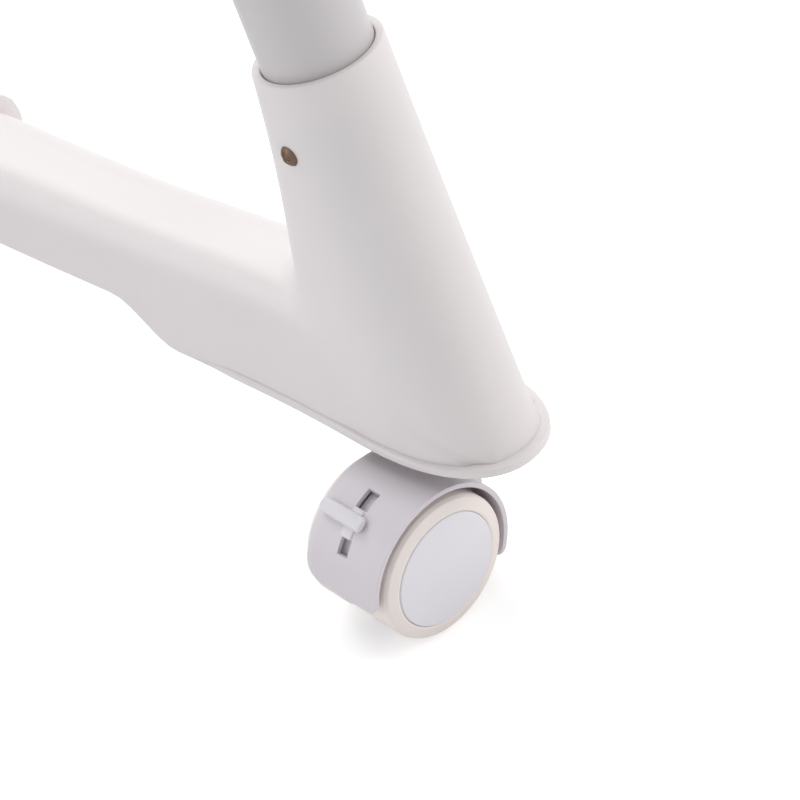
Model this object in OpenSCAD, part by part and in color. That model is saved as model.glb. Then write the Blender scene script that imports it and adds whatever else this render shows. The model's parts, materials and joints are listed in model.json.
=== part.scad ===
// Salon hood hair dryer on a rolling stand.
// Three moulded legs meet in a weighted hub and stand on braked twin-wheel casters. The rear leg holds
// a leaning telescopic mast, and the mast carries a tilting hood with a blower housing behind it.
// Millimetres, +Z up, the dryer faces -Y. The origin is on the floor, under the middle of the dryer.

/* [Stand] */
// Distance of the rear caster's stem behind the origin
rear_y = 310; // [290:1:330]
// Hub centre to the rear caster's stem
rear_reach = 300; // [280:1:330]
// Hub centre to each front caster's stem
front_reach = 370; // [340:1:400]
// Angle of each front leg from straight ahead
front_spread = 50; // [40:1:60]
// Radius of the hub
hub_r = 60; // [56:1:70]
// Length of the hub's arms from its centre
hub_arm = 105; // [100:1:120]
// Thickness of the hub's walls
hub_wall = 4; // [3:0.5:6]

/* [Legs] */
// Height of a foot's open lower edge above the floor
foot_z = 60; // [58:1:66]
// Width of a foot over its lip
foot_w = 50; // [46:1:56]
// Reach of the toe beyond the caster's stem
toe_reach = 35.9; // [32:0.1:40]
// Length of the rounded toe
toe_len = 38.5; // [34:0.5:42]
// Length over which a foot narrows to its limb
waist = 34; // [26:1:44]
// Width of a leg's limb
limb_w = 39.4; // [36:0.2:42]
// Height of a limb's top above the floor
limb_top = 100; // [96:1:106]
// Radius of a limb's upper edges
limb_r = 13; // [8:0.5:16]
// Distance from the stem to where the rear foot's lower edge steps up
step_at = 96.4; // [86:0.2:110]
// Length of that step
step_len = 26; // [20:1:34]
// Height of the neck's lower edge above the floor
neck_z = 73; // [70:1:76]
// Thickness of the legs' walls
leg_wall = 3; // [2:0.2:4]
// Height of the lip round a foot's open edge
lip_h = 3; // [2:0.2:4]
// How far the lip stands proud
lip_out = 1.6; // [1:0.1:2.2]

/* [Mast] */
// Lean of the mast towards the front
lean = 14.2; // [12:0.1:16]
// Where the mast's axis crosses the foot's lower edge, behind the stem
mast_at = 7; // [4:0.5:10]
// Height of the socket's rim along the mast, from the foot's lower edge
socket_len = 139.7; // [130:0.1:150]
// Wall of the socket at its rim
socket_wall = 2.9; // [2.4:0.1:3.6]
// Outside diameter of the lower tube
lower_d = 36; // [34:0.5:38]
// Outside diameter of the upper tube
upper_d = 30; // [28:0.5:31]
// Wall of both tubes
tube_wall = 1.5; // [1.2:0.1:2]
// Where the lower tube starts along the mast
lower_from = 30; // [28:1:34]
// Where the lower tube ends along the mast
lower_to = 862; // [820:1:880]
// Length of the upper tube
upper_len = 590; // [540:1:620]
// Where the tilt pin crosses the mast
pivot_at = 1190; // [1170:1:1220]
// Diameter of the small screws' heads in the socket
screw_head_d = 7; // [6:0.2:8]
// Distance of those screws below the socket's rim
screw_drop = 24.7; // [20:0.1:30]
// Angle of those screws from the side towards the front
screw_turn = 12.3; // [0:0.1:20]

/* [Casters] */
// Diameter of a wheel
wheel_d = 50; // [48:0.5:52]
// Diameter of the flat disc on a wheel's side
disc_d = 39.8; // [36:0.2:42]
// Distance of the axle behind the stem
trail = 25.8; // [25:0.1:27]
// Half the width of a caster over its wheels
wheel_face = 19.6; // [18:0.1:21]
// How far each wheel stands out of the hood
wheel_proud = 2.2; // [1.5:0.1:3]
// Gap between a tyre and the hood
hood_gap = 2.3; // [1.5:0.1:2.6]
// Wall of the hood
hood_wall = 1.7; // [1.4:0.1:2]
// Diameter of the axle
axle_d = 6; // [5:0.5:7]
// Diameter of the stem inside the caster
stem_d = 8; // [7:0.5:9]
// Diameter of the stem inside the leg
grip_d = 11; // [10:0.5:12]
// How the three casters stand, rear first, right and left next
caster_turns = [-6.9, -24, 204];

/* [Hood] */
// Outside radius of the dome
dome_r = 175; // [170:1:180]
// Wall of the dome
dome_wall = 3; // [2.5:0.1:4]
// Height of the dome's centre above its rim
rim_drop = 75; // [70:1:82]
// Gap between the dome and the liner
plenum = 22; // [18:1:26]
// Wall of the liner
liner_wall = 2; // [1.6:0.1:3]
// Thickness of the rim seal
rim_t = 8; // [6:0.5:10]
// Diameter of an air hole in the liner
air_hole_d = 8; // [5:0.5:9]
// Gap between the dome and the visor
visor_gap = 3; // [2:0.5:4]
// Wall of the visor
visor_wall = 2.4; // [2:0.1:3]
// Lower edge of the visor, in degrees below level
visor_low = 52; // [46:1:56]
// Upper edge of the visor, in degrees above level
visor_high = 12; // [6:1:18]
// Distance from the dome's back to the tilt pin
pivot_behind = 15; // [12:1:20]
// Distance from the dome's centre down to the tilt pin
pivot_down = 95; // [92:1:100]

/* [Blower housing] */
// How far the housing stands out behind the dome
housing_depth = 80; // [74:1:88]
// Half the housing's width
housing_half = 78; // [74:1:84]
// Wall of the housing
housing_wall = 3; // [2.5:0.1:4]
// Radius of the housing's edges
housing_r = 16; // [12:1:20]
// Height of the fan's axis above the dome's centre
fan_z = -10; // [-12:1:-6]
// Diameter of the fan
fan_d = 88; // [80:1:92]
// Diameter of the intake grille
grille_d = 100; // [92:1:104]
// Diameter of the control knobs
knob_d = 30; // [26:1:34]
// Distance of each knob from the middle of the panel
knob_off = 38; // [34:1:42]

/* [Hidden] */
$fn = 64;

run = 0.05;        // radial clearance of a shaft that turns or slides
slip = 0.3;        // clearance between pieces that are put together by hand
skin = 0.3;        // gap between two surfaces that pass each other
eps = 0.1;         // overrun of a cut
past = 1;          // how far a hollow's tool runs past an open edge

// Stand
hub_y = rear_y - rear_reach;
front_turn = 180 - front_spread;
toe_mid = toe_reach - toe_len;
tower_back = -46;             // where the socket's tower ends on the hub side
socket_r = lower_d / 2 + slip / 2 + socket_wall;
hub_pocket = hub_r - hub_wall; // how near the hub's centre the legs' necks reach
hub_screw_at = (hub_arm + hub_pocket) / 2;
hub_screw_d = 5;
hub_head_h = 3;
hub_screw_len = 18;
hub_low = neck_z - slip - hub_wall;  // underside and top of the hub's arms
hub_top = limb_top + slip + hub_wall;
hub_floor = hub_low - 1.5;    // underside and top of the hub's round body
hub_crown = hub_top + 2;
neck_w = limb_w - 2 * lip_out;
cap_r = 34;
cap_seat = 2;                 // depth of the cap's seat in the hub
cap_rise = 4;
weight_h = 26;
rib_t = 2.4;
rib_h = 15;
rib_back = -60;               // where the rib along a foot ends
rear_neck = -(rear_reach - hub_pocket - slip);   // where each leg's neck ends, from its own stem
front_neck = -(front_reach - hub_pocket - slip);
rear_screw = -(rear_reach - hub_screw_at);
front_screw = -(front_reach - hub_screw_at);
limb_from = -12;              // where the rear leg's limb leaves the tower
toe_flat_from = -18;          // where a front leg's limb ends and its toe's slope starts
toe_top_y = 2;                // middle of the ball that rounds a front toe
toe_top_z = 18;
toe_top_r = 17;

// Mast
upper_from = pivot_at - 34 - upper_len; // the upper tube ends in the hood's bracket
collar_from = lower_to - 34;
collar_to = lower_to + 28;
collar_r = lower_d / 2 + 7;
clamp_at = lower_to + 15;
clamp_d = 6;
clamp_boss = collar_r + 8;    // how far the clamp's boss reaches from the mast's axis
screw_d = 4;
screw_in = lower_d / 2 - tube_wall - 2; // how near the mast's axis the small screws reach
screw_seat = socket_r + 1;    // distance of the small screws' heads from the mast's axis
bush_len = 60;
bush_flange = 3;
pin_d = 10;
lug_half = 12;
ear_in = lug_half + skin;
ear_out = ear_in + 7;
ear_r = 17;
bracket_r = upper_d / 2 + 5;
bracket_low = pivot_at - 90;
bracket_top = pivot_at - 28;
tube_top = upper_from + upper_len;

// Casters
wheel_r = wheel_d / 2;
hood_half = wheel_face - wheel_proud;
hood_in = wheel_r + hood_gap;
hood_r = hood_in + hood_wall;
hood_lead = 203;              // where the hood's leading edge lies, in degrees round the axle from the trail
hub_gap = 0.4;                // gap between a wheel's inner face and the hood's web
web_half = 4.2;
boss_half = web_half + 1;     // half the width of the stem's boss, which stands between the tyres
lever_half = 2.3;
slot_low = 29;
slot_high = 75;
lever_low = 41;
lever_high = 60;
pedal_low = 47.5;
pedal_high = 57.5;
pedal_out = 2.2;
pedal_far = -(hood_half - 1.6);
pedal_near = 4.9;
collar_low = foot_z - 9.6;    // underside of the stem's collar
boss_low = foot_z - 4;        // underside of the leg's stem boss
grip_len = 26;

// Hood
liner_r = dome_r - dome_wall - plenum;
rim_r = sqrt(pow(dome_r, 2) - pow(rim_drop, 2));
liner_rim_r = sqrt(pow(liner_r - liner_wall, 2) - pow(rim_drop, 2));
visor_in = dome_r + visor_gap;
visor_out = visor_in + visor_wall;
visor_pin_d = 8;
pivot_back = dome_r + pivot_behind;     // from the dome's centre back to the tilt pin
housing_back = dome_r + housing_depth;  // from the dome's centre to the housing's back
visor_ear = 18;
hood_y = rear_y + mast_at - pivot_at * sin(lean) - pivot_back;
hood_z = foot_z + pivot_at * cos(lean) + pivot_down;
housing_low = -rim_drop + 5;
panel_mid = [0, housing_back - housing_r - 35, 80];
panel_turn = 45;
panel_t = 3;
panel_size = [128, 62];
bulkhead = housing_back - 73;
motor_r = 28;
port_r = 45;
shaft_d = 6;
gland_x = -48;
gland_y = housing_back - 30;
gland_bore = 7.2;
gland_d = 14;                 // outside of the gland where it passes through the housing
air_rings = [[24, 8], [42, 12], [60, 16], [78, 16], [96, 16]]; // angle from the top and number of holes
motor_len = 28;
blades = 16;
well = [17, 25, 14];          // inside of the rocker's well
well_wall = 1.5;
window = [panel_size[0] - 16, panel_size[1] - 14]; // opening behind the panel
lamp_y = -window[1] / 2 + 5;
lamp_d = 8;
unit_w = 34;                  // width of the timer and of the heat switch
unit_h = 20;
// Side view of the housing: the middles of its rounded edges
housing_edges = [[100, housing_low + housing_r], [housing_back - housing_r, housing_low + housing_r],
    [housing_back - housing_r, 45], [housing_back - housing_r - 70, 115], [90, 125]];

// ---------------------------------------------------------------- frames

module rear_frame() translate([0, rear_y, 0]) children();
module right_frame()
    translate([front_reach * sin(front_spread), hub_y - front_reach * cos(front_spread), 0])
        rotate([0, 0, -front_turn]) children();
module left_frame() mirror([1, 0, 0]) right_frame() children();
module hub_frame() translate([0, hub_y, 0]) children();
module mast_frame(s = 0) translate([0, rear_y + mast_at, foot_z]) rotate([lean, 0, 0]) translate([0, 0, s]) children();
module hood_frame() translate([0, hood_y, hood_z]) children();
module panel_frame() translate(panel_mid) rotate([-panel_turn, 0, 0]) translate([0, 0, housing_r]) children();
module fan_frame(y = 0) translate([0, y, fan_z]) rotate([-90, 0, 0]) children();

// A caster stands under a stem, turned about it. k is 0 for the rear, 1 for the right and 2 for the left.
module caster_frame(k) {
    place = [[0, rear_y],
        [front_reach * sin(front_spread), hub_y - front_reach * cos(front_spread)],
        [-front_reach * sin(front_spread), hub_y - front_reach * cos(front_spread)]][k];
    translate([place[0], place[1], 0]) rotate([0, 0, caster_turns[k]]) children();
}
// The axle's own frame: z along the axle, towards the near wheel
module axle_frame() translate([trail, 0, wheel_r]) rotate([-90, 0, 0]) children();

// ---------------------------------------------------------------- plain shapes

module tube(r, wall, h) difference() {
    cylinder(r = r, h = h);
    translate([0, 0, -eps]) cylinder(r = r - wall, h = h + 2 * eps);
}
module ring(r_out, r_in, h) tube(r_out, r_out - r_in, h);
module plate(size, r, h) linear_extrude(h) {
    square([size[0] - 2 * r, size[1]], center = true);
    square([size[0], size[1] - 2 * r], center = true);
    for (x = [-1, 1], y = [-1, 1]) translate([x * (size[0] / 2 - r), y * (size[1] / 2 - r)]) circle(r);
}
// A sector of a disc from one angle to another, measured round the axle from the trail upwards
function sector(r, low, high, n = 12) =
    concat([[0, 0]], [for (i = [0:n]) let (a = -(low + (high - low) * i / n)) r * [cos(a), sin(a)]]);
module arc_block(r_in, r_out, low, high, z0, z1) translate([0, 0, z0]) linear_extrude(z1 - z0) difference() {
    intersection() {
        circle(r_out);
        polygon(sector(2 * r_out, low, high));
    }
    circle(r_in);
}

// ---------------------------------------------------------------- legs

// Half the width of a foot's outline: it narrows smoothly from the foot to the limb
function half_width(y) = limb_w / 2 + (foot_w - limb_w) / 2 / (1 + pow((toe_mid - y) / waist, 2));
// A rounded toe, a little squarer than an ellipse
function toe_point(a, inset) = [
    sign(cos(a)) * pow(abs(cos(a)), 0.91) * (foot_w / 2 - inset),
    toe_mid + pow(sin(a), 0.91) * (toe_len - inset)];
function side_points(y_end, inset, n = 12) =
    [for (i = [1:n]) let (y = toe_mid + (y_end - toe_mid) * i / n) [-(half_width(y) - inset), y]];
module foot_outline(inset, y_end) {
    left = side_points(y_end, inset);
    polygon(concat([for (i = [0:24]) toe_point(7.5 * i, inset)], left,
        [for (i = [len(left) - 1:-1:0]) [-left[i][0], left[i][1]]]));
}
// Section of a limb, drawn across it: x is its width and y its height
module limb_section(w, low, top, r) {
    translate([-w / 2, low]) square([w, top - low - r]);
    translate([-w / 2 + r, low]) square([w - 2 * r, top - low]);
    for (s = [-1, 1]) translate([s * (w / 2 - r), top - r]) circle(r);
}
module along_leg(y_from, y_to) translate([0, y_from, 0]) rotate([90, 0, 0]) linear_extrude(y_from - y_to) children();
// Height of a leg's lower edge: an S from the foot up to the neck
function edge_z(y) = let (t = min(1, max(0, (-step_at - y) / step_len)))
    foot_z + (neck_z - foot_z) * t * t * (3 - 2 * t);
module below_edge(y_end) {
    edge = [for (i = [0:12]) let (y = -step_at - step_len * i / 12) [y, edge_z(y)]];
    translate([-foot_w, 0, 0]) rotate([90, 0, 90]) linear_extrude(2 * foot_w)
        polygon(concat([[toe_reach + 20, 0], [toe_reach + 20, foot_z], [-step_at, foot_z]], edge,
            [[y_end - 1, neck_z], [y_end - 1, 0]]));
}
module limb(y_from, y_end) difference() {
    along_leg(y_from, y_end) limb_section(neck_w, foot_z, limb_top, limb_r);
    below_edge(y_end);
}
module limb_hollow(y_from, y_end)
    along_leg(y_from - leg_wall, y_end + leg_wall)
        limb_section(neck_w - 2 * leg_wall, foot_z - 20, limb_top - leg_wall, limb_r - leg_wall);
// The lip follows the foot's open edge and ends where the edge steps up
module lip() difference() {
    translate([0, 0, foot_z]) linear_extrude(lip_h) foot_outline(0, -step_at);
    translate([0, 0, foot_z - eps]) linear_extrude(lip_h + 2 * eps) foot_outline(lip_out + leg_wall, -step_at - 1);
}
module lip_room() translate([0, 0, foot_z - past]) linear_extrude(lip_h + past)
    foot_outline(lip_out + leg_wall, -step_at - past);
module stem_boss() translate([0, 0, boss_low]) cylinder(r = grip_d / 2 + 4, h = grip_len + 4);
module stem_room() translate([0, 0, boss_low - eps]) cylinder(r = grip_d / 2 + run, h = grip_len + eps);
// Two crossing ribs inside a foot
module foot_ribs() {
    translate([-rib_t / 2, rib_back, foot_z + 2]) cube([rib_t, toe_reach - 2 * leg_wall - rib_back, rib_h]);
    translate([-foot_w / 2 + leg_wall, -rib_t / 2, foot_z + 2]) cube([foot_w - 2 * leg_wall, rib_t, rib_h]);
}
// Boss in the neck for the screw that holds it in the hub
module neck_boss(y) translate([0, y, neck_z]) difference() {
    cylinder(r = hub_screw_d / 2 + 3, h = limb_top - neck_z - 1);
    translate([0, 0, -eps]) cylinder(r = hub_screw_d / 2, h = hub_screw_len);
}

// The rear leg's own view of the mast: its origin is the stem
module socket_frame(s) translate([0, mast_at, foot_z]) rotate([lean, 0, 0]) translate([0, 0, s]) children();
// The socket's tower, from the foot's outline up to a round rim. A tool for its hollow runs past the open edge.
module tower(inset, top, below = 0) hull() {
    socket_frame(top - 1) cylinder(r = socket_r - inset, h = 1, $fn = 48);
    translate([0, 0, foot_z - below]) linear_extrude(lip_h + 1) foot_outline(lip_out + inset, tower_back + inset);
}
module rear_foot() color("whitesmoke") rear_frame() difference() {
    union() {
        difference() {
            union() {
                tower(0, socket_len);
                limb(limb_from, rear_neck);
                lip();
            }
            tower(leg_wall, socket_len - 30, past);
            lip_room();
            limb_hollow(limb_from, rear_neck);
        }
        socket_frame(lower_from - 4) cylinder(r = socket_r - 0.5, h = socket_len - lower_from + 3);
        stem_boss();
        foot_ribs();
        neck_boss(rear_screw);
    }
    socket_frame(lower_from - slip) cylinder(r = lower_d / 2 + slip / 2, h = socket_len);
    stem_room();
    socket_frame(socket_len - screw_drop) screw_pair() {
        cylinder(r = screw_d / 2 + run, h = 40);
        translate([0, 0, screw_seat - skin / 3]) cylinder(r = screw_head_d / 2 + skin, h = 20);
    }
}
// Puts a shape on each side of the mast, its z pointing out of the socket
module screw_pair() for (side = [0, 1]) mirror([side, 0, 0]) rotate([0, 0, -screw_turn]) rotate([0, 90, 0]) children();

// The front legs' toe: the limb's round top comes down to the toe's outline
module toe_cap(inset, below = 0) hull() {
    translate([0, 0, foot_z - below]) linear_extrude(lip_h + 1) foot_outline(lip_out + inset, tower_back + inset);
    translate([0, toe_top_y, foot_z + toe_top_z]) sphere(r = toe_top_r - inset, $fn = 32);
    for (s = [-1, 1]) translate([s * (neck_w / 2 - limb_r), toe_flat_from, limb_top - limb_r])
        rotate([90, 0, 0]) cylinder(r = limb_r - inset, h = toe_flat_from - tower_back - inset, $fn = 32);
}
module front_leg() difference() {
    union() {
        difference() {
            union() {
                toe_cap(0);
                limb(toe_flat_from, front_neck);
                lip();
            }
            toe_cap(leg_wall, past);
            lip_room();
            limb_hollow(toe_flat_from + 2 * leg_wall, front_neck);
        }
        intersection() {
            union() {
                stem_boss();
                foot_ribs();
            }
            toe_cap(leg_wall / 2, past + foot_z - boss_low);
        }
        neck_boss(front_screw);
    }
    stem_room();
}
module front_leg_right() color("whitesmoke") right_frame() front_leg();
module front_leg_left() color("whitesmoke") left_frame() front_leg();

// ---------------------------------------------------------------- hub

module hub_arms() for (turn = [0, front_turn, -front_turn]) rotate([0, 0, turn]) children();
module hub() color("white") hub_frame() difference() {
    union() {
        translate([0, 0, hub_floor]) cylinder(r = hub_r, h = hub_crown - hub_floor);
        hub_arms() along_leg(hub_arm, hub_pocket - hub_wall)
            limb_section(neck_w + 2 * (slip + hub_wall), hub_low, hub_top, limb_r + slip + hub_wall);
    }
    hub_arms() along_leg(hub_arm + eps, hub_pocket)
        limb_section(neck_w + 2 * slip, neck_z - slip, limb_top + slip, limb_r + slip);
    translate([0, 0, hub_floor - eps]) cylinder(r = hub_r - 2 * hub_wall, h = weight_h + slip + eps);
    hub_arms() translate([0, hub_screw_at, hub_low - eps]) cylinder(r = hub_screw_d / 2 + slip, h = hub_wall + 2 * eps);
    translate([0, 0, hub_crown - cap_seat]) cylinder(r = cap_r + slip, h = cap_seat + past);
}
// A low domed lid: its top is an arc from the rim up to the middle
module hub_cap() color("gainsboro") hub_frame() translate([0, 0, hub_crown - cap_seat]) rotate_extrude()
    polygon(concat([[0, 0], [cap_r, 0]],
        [for (i = [0:10]) [cap_r * cos(9 * i), cap_seat + cap_rise * sin(9 * i)]]));
module hub_weight() color("dimgray") hub_frame() difference() {
    translate([0, 0, hub_floor]) cylinder(r = hub_r - 2 * hub_wall - slip, h = weight_h);
    translate([0, 0, hub_floor - eps]) cylinder(r = 6, h = weight_h + 2 * eps);
}
module hub_screws() color("silver") hub_frame() hub_arms() translate([0, hub_screw_at, 0]) {
    translate([0, 0, hub_low - hub_head_h]) cylinder(r = hub_screw_d, h = hub_head_h);
    translate([0, 0, hub_low - eps]) cylinder(r = hub_screw_d / 2 - run, h = hub_screw_len);
}

// ---------------------------------------------------------------- mast

module lower_tube() color("lightgray") mast_frame() difference() {
    translate([0, 0, lower_from]) tube(lower_d / 2, tube_wall, lower_to - lower_from);
    translate([0, 0, socket_len - screw_drop]) screw_pair() cylinder(r = screw_d / 2 + run, h = 40);
}
module mast_screws() color("darkgray") mast_frame(socket_len - screw_drop) screw_pair() {
    translate([0, 0, screw_in]) cylinder(r = screw_d / 2, h = screw_seat + 0.2 - screw_in);
    translate([0, 0, screw_seat]) intersection() {
        cylinder(r = screw_head_d / 2, h = 3);
        translate([0, 0, -1.6]) sphere(r = 4.2);
    }
}
module tube_bush() color("dimgray") mast_frame() difference() {
    union() {
        translate([0, 0, lower_to - bush_len]) cylinder(r = lower_d / 2 - tube_wall, h = bush_len);
        translate([0, 0, lower_to]) cylinder(r = lower_d / 2, h = bush_flange);
    }
    translate([0, 0, lower_to - bush_len - past]) cylinder(r = upper_d / 2 + run, h = bush_len + 2 * past + bush_flange);
}
module collar() color("white") mast_frame() difference() {
    union() {
        translate([0, 0, collar_from]) cylinder(r = collar_r, h = collar_to - collar_from);
        translate([0, 0, clamp_at]) rotate([-90, 0, 0]) cylinder(r = clamp_d / 2 + 6, h = clamp_boss);
    }
    translate([0, 0, collar_from - eps])
        cylinder(r = lower_d / 2 + run, h = lower_to + bush_flange + slip - collar_from);
    translate([0, 0, lower_to]) cylinder(r = upper_d / 2 + slip, h = 60);
    translate([0, 0, clamp_at]) rotate([-90, 0, 0]) cylinder(r = clamp_d / 2 + run, h = 60);
}
// A star knob with six lobes on a screw
module star_knob(r, h) difference() {
    cylinder(r = r, h = h);
    for (i = [0:5]) rotate([0, 0, 60 * i]) translate([r + 3, 0, -eps]) cylinder(r = 7, h = h + 2 * eps);
}
module clamp_knob() color("white") mast_frame(clamp_at) rotate([-90, 0, 0]) {
    translate([0, 0, upper_d / 2 + slip]) cylinder(r = clamp_d / 2, h = clamp_boss + 1 - upper_d / 2);
    translate([0, 0, clamp_boss + skin]) star_knob(18, 16);
}
module upper_tube() color("gainsboro") mast_frame(upper_from) tube(upper_d / 2, tube_wall, upper_len);
module hood_bracket() color("white") mast_frame() difference() {
    union() {
        translate([0, 0, bracket_low]) cylinder(r = bracket_r, h = bracket_top - bracket_low);
        for (side = [0, 1]) mirror([side, 0, 0]) {
            translate([ear_in, -13, pivot_at - 60]) cube([ear_out - ear_in, 26, 60]);
            translate([ear_in, 0, pivot_at]) rotate([0, 90, 0]) cylinder(r = ear_r, h = ear_out - ear_in);
        }
    }
    translate([0, 0, bracket_low - past]) cylinder(r = upper_d / 2 + run, h = tube_top + run - bracket_low + past);
    translate([0, 0, pivot_at]) rotate([0, 90, 0]) cylinder(r = pin_d / 2 + run, h = 80, center = true);
}
module tilt_pin() color("silver") mast_frame(pivot_at) rotate([0, 90, 0]) {
    translate([0, 0, -ear_out]) cylinder(r = pin_d / 2, h = 2 * ear_out + 12);
    translate([0, 0, -ear_out - 4]) cylinder(r = pin_d / 2 + 4, h = 4);
}
module tilt_knob() color("white") mast_frame(pivot_at) rotate([0, 90, 0]) difference() {
    translate([0, 0, ear_out + skin]) star_knob(20, 18);
    translate([0, 0, ear_out]) cylinder(r = pin_d / 2 + run, h = 12 + slip);
}

// ---------------------------------------------------------------- casters

module caster_hood(k) color("lavender") caster_frame(k) difference() {
    union() {
        axle_frame() arc_block(hood_in, hood_r, 0, hood_lead, -hood_half, hood_half);
        translate([0, 0, wheel_r - 8]) intersection() {
            cylinder(r = stem_d / 2 + 3.5, h = 31);
            translate([-wheel_r, -boss_half, 0]) cube([2 * wheel_r, 2 * boss_half, wheel_d]);
        }
        axle_frame() translate([0, 0, -web_half]) linear_extrude(2 * web_half) {
            circle(axle_d / 2 + 4);
            polygon([[2, 6], [2, -hood_in - 0.8], [-12, -hood_in + 2.8], [-trail + 2, -12], [-trail, 8], [-8, 8]]);
        }
    }
    axle_frame() cylinder(r = axle_d / 2, h = 60, center = true);
    axle_frame() cylinder(r = axle_d / 2 + 4 + skin, h = 2 * (lever_half + skin), center = true);
    axle_frame() arc_block(axle_d / 2 + 2, hood_r + 1, slot_low, slot_high, -lever_half - skin, lever_half + skin);
    translate([0, 0, wheel_r - 4]) cylinder(r = stem_d / 2 + run, h = 60);
}
module caster_stem(k) color("silver") caster_frame(k) {
    translate([0, 0, wheel_r - 3]) cylinder(r = stem_d / 2, h = collar_low - wheel_r + 4);
    translate([0, 0, collar_low]) cylinder(r = grip_d / 2 + 3, h = boss_low - collar_low);
    translate([0, 0, boss_low - eps]) cylinder(r = grip_d / 2, h = grip_len - 0.5);
}
module caster_axle(k) color("silver") caster_frame(k) axle_frame()
    cylinder(r = axle_d / 2, h = 2 * (wheel_face - 3.6), center = true);
module caster_brake(k) color("white") caster_frame(k) axle_frame() difference() {
    union() {
        cylinder(r = axle_d / 2 + 3.6, h = 2 * lever_half, center = true);
        arc_block(axle_d / 2 + 2, hood_r, lever_low, lever_high, -lever_half, lever_half);
        arc_block(hood_r - 1, hood_r + pedal_out, pedal_low, pedal_high, -lever_half, lever_half);
        arc_block(hood_r + skin, hood_r + pedal_out, pedal_low, pedal_high, pedal_far, pedal_near);
    }
    cylinder(r = axle_d / 2 + run, h = 60, center = true);
}
// side is 1 for the near wheel and -1 for the far one
module wheel_side(side) mirror([0, 0, side > 0 ? 0 : 1]) children();
module caster_wheel(k, side) color("ghostwhite") caster_frame(k) axle_frame() wheel_side(side) rotate_extrude()
    polygon([[axle_d / 2 + run, web_half + hub_gap], [axle_d / 2 + 4, web_half + hub_gap],
        [axle_d / 2 + 4, wheel_face - 2.6], [disc_d / 2 - 2, wheel_face - 2.6], [disc_d / 2 - 2, web_half + 2],
        [disc_d / 2 + 0.5, web_half + 2], [disc_d / 2 + 0.5, wheel_face - 1.2], [disc_d / 2, wheel_face - 0.8],
        [disc_d / 2, wheel_face], [0, wheel_face], [0, wheel_face - 3.3],
        [axle_d / 2 + run, wheel_face - 3.3]]);
module caster_tyre(k, side) color("linen") caster_frame(k) axle_frame() wheel_side(side) rotate_extrude()
    polygon([[disc_d / 2 + 0.5, web_half + 1.4], [wheel_r - 1.4, web_half + 1.4], [wheel_r, web_half + 2.8],
        [wheel_r, wheel_face - 2.4], [wheel_r - 0.5, wheel_face - 1.5], [disc_d / 2 + 1, wheel_face - 0.4],
        [disc_d / 2 + 0.5, wheel_face - 0.5]]);

module rear_caster_hood() caster_hood(0);
module rear_caster_stem() caster_stem(0);
module rear_caster_axle() caster_axle(0);
module rear_caster_brake() caster_brake(0);
module rear_caster_near_wheel() caster_wheel(0, 1);
module rear_caster_near_tyre() caster_tyre(0, 1);
module rear_caster_far_wheel() caster_wheel(0, -1);
module rear_caster_far_tyre() caster_tyre(0, -1);
module right_caster_hood() caster_hood(1);
module right_caster_stem() caster_stem(1);
module right_caster_axle() caster_axle(1);
module right_caster_brake() caster_brake(1);
module right_caster_near_wheel() caster_wheel(1, 1);
module right_caster_near_tyre() caster_tyre(1, 1);
module right_caster_far_wheel() caster_wheel(1, -1);
module right_caster_far_tyre() caster_tyre(1, -1);
module left_caster_hood() caster_hood(2);
module left_caster_stem() caster_stem(2);
module left_caster_axle() caster_axle(2);
module left_caster_brake() caster_brake(2);
module left_caster_near_wheel() caster_wheel(2, 1);
module left_caster_near_tyre() caster_tyre(2, 1);
module left_caster_far_wheel() caster_wheel(2, -1);
module left_caster_far_tyre() caster_tyre(2, -1);

// ---------------------------------------------------------------- hood

module above_rim() translate([-2 * dome_r, -2 * dome_r, -rim_drop]) cube(4 * dome_r);
module dome(r_out, r_in) difference() {
    intersection() {
        sphere(r = r_out, $fn = 96);
        above_rim();
    }
    sphere(r = r_in, $fn = 96);
}
module on_sides() for (side = [0, 1]) mirror([side, 0, 0]) rotate([0, 90, 0]) children();
module hood_shell() color("white") hood_frame() difference() {
    dome(dome_r, dome_r - dome_wall);
    fan_frame(dome_r - 60) cylinder(r = port_r, h = 80);
    on_sides() translate([0, 0, dome_r - 20]) cylinder(r = visor_pin_d / 2, h = 40);
}
module hood_liner() color("gainsboro") hood_frame() difference() {
    dome(liner_r, liner_r - liner_wall);
    for (r = air_rings) for (i = [0:r[1] - 1]) rotate([0, 0, 360 * (i + 0.5) / r[1]]) rotate([0, r[0], 0])
        translate([0, 0, liner_r - 15]) cylinder(r = air_hole_d / 2, h = 30);
}
// The seal under the shell and the liner: flat on top, round below
module hood_rim() color("lightgray") hood_frame() translate([0, 0, -rim_drop - rim_t]) rotate_extrude() {
    translate([liner_rim_r, rim_t / 2]) square([rim_r - liner_rim_r, rim_t / 2]);
    translate([liner_rim_r + rim_t / 2, 0]) square([rim_r - liner_rim_r - rim_t, rim_t / 2]);
    translate([liner_rim_r + rim_t / 2, rim_t / 2]) circle(rim_t / 2);
    translate([rim_r - rim_t / 2, rim_t / 2]) circle(rim_t / 2);
}
module visor() color([0.6, 0.75, 0.85, 0.45]) hood_frame() difference() {
    intersection() {
        sphere(r = visor_out, $fn = 96);
        union() {
            translate([-2 * dome_r, 0, 0]) rotate([90, 0, 90]) linear_extrude(4 * dome_r)
                polygon([[0, 0], for (a = [-visor_low, -20, visor_high]) 2 * dome_r * [-cos(a), sin(a)]]);
            on_sides() cylinder(r = visor_ear, h = 2 * dome_r);
        }
    }
    sphere(r = visor_in, $fn = 96);
    on_sides() cylinder(r = visor_pin_d / 2 + run, h = 2 * dome_r);
}
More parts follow.
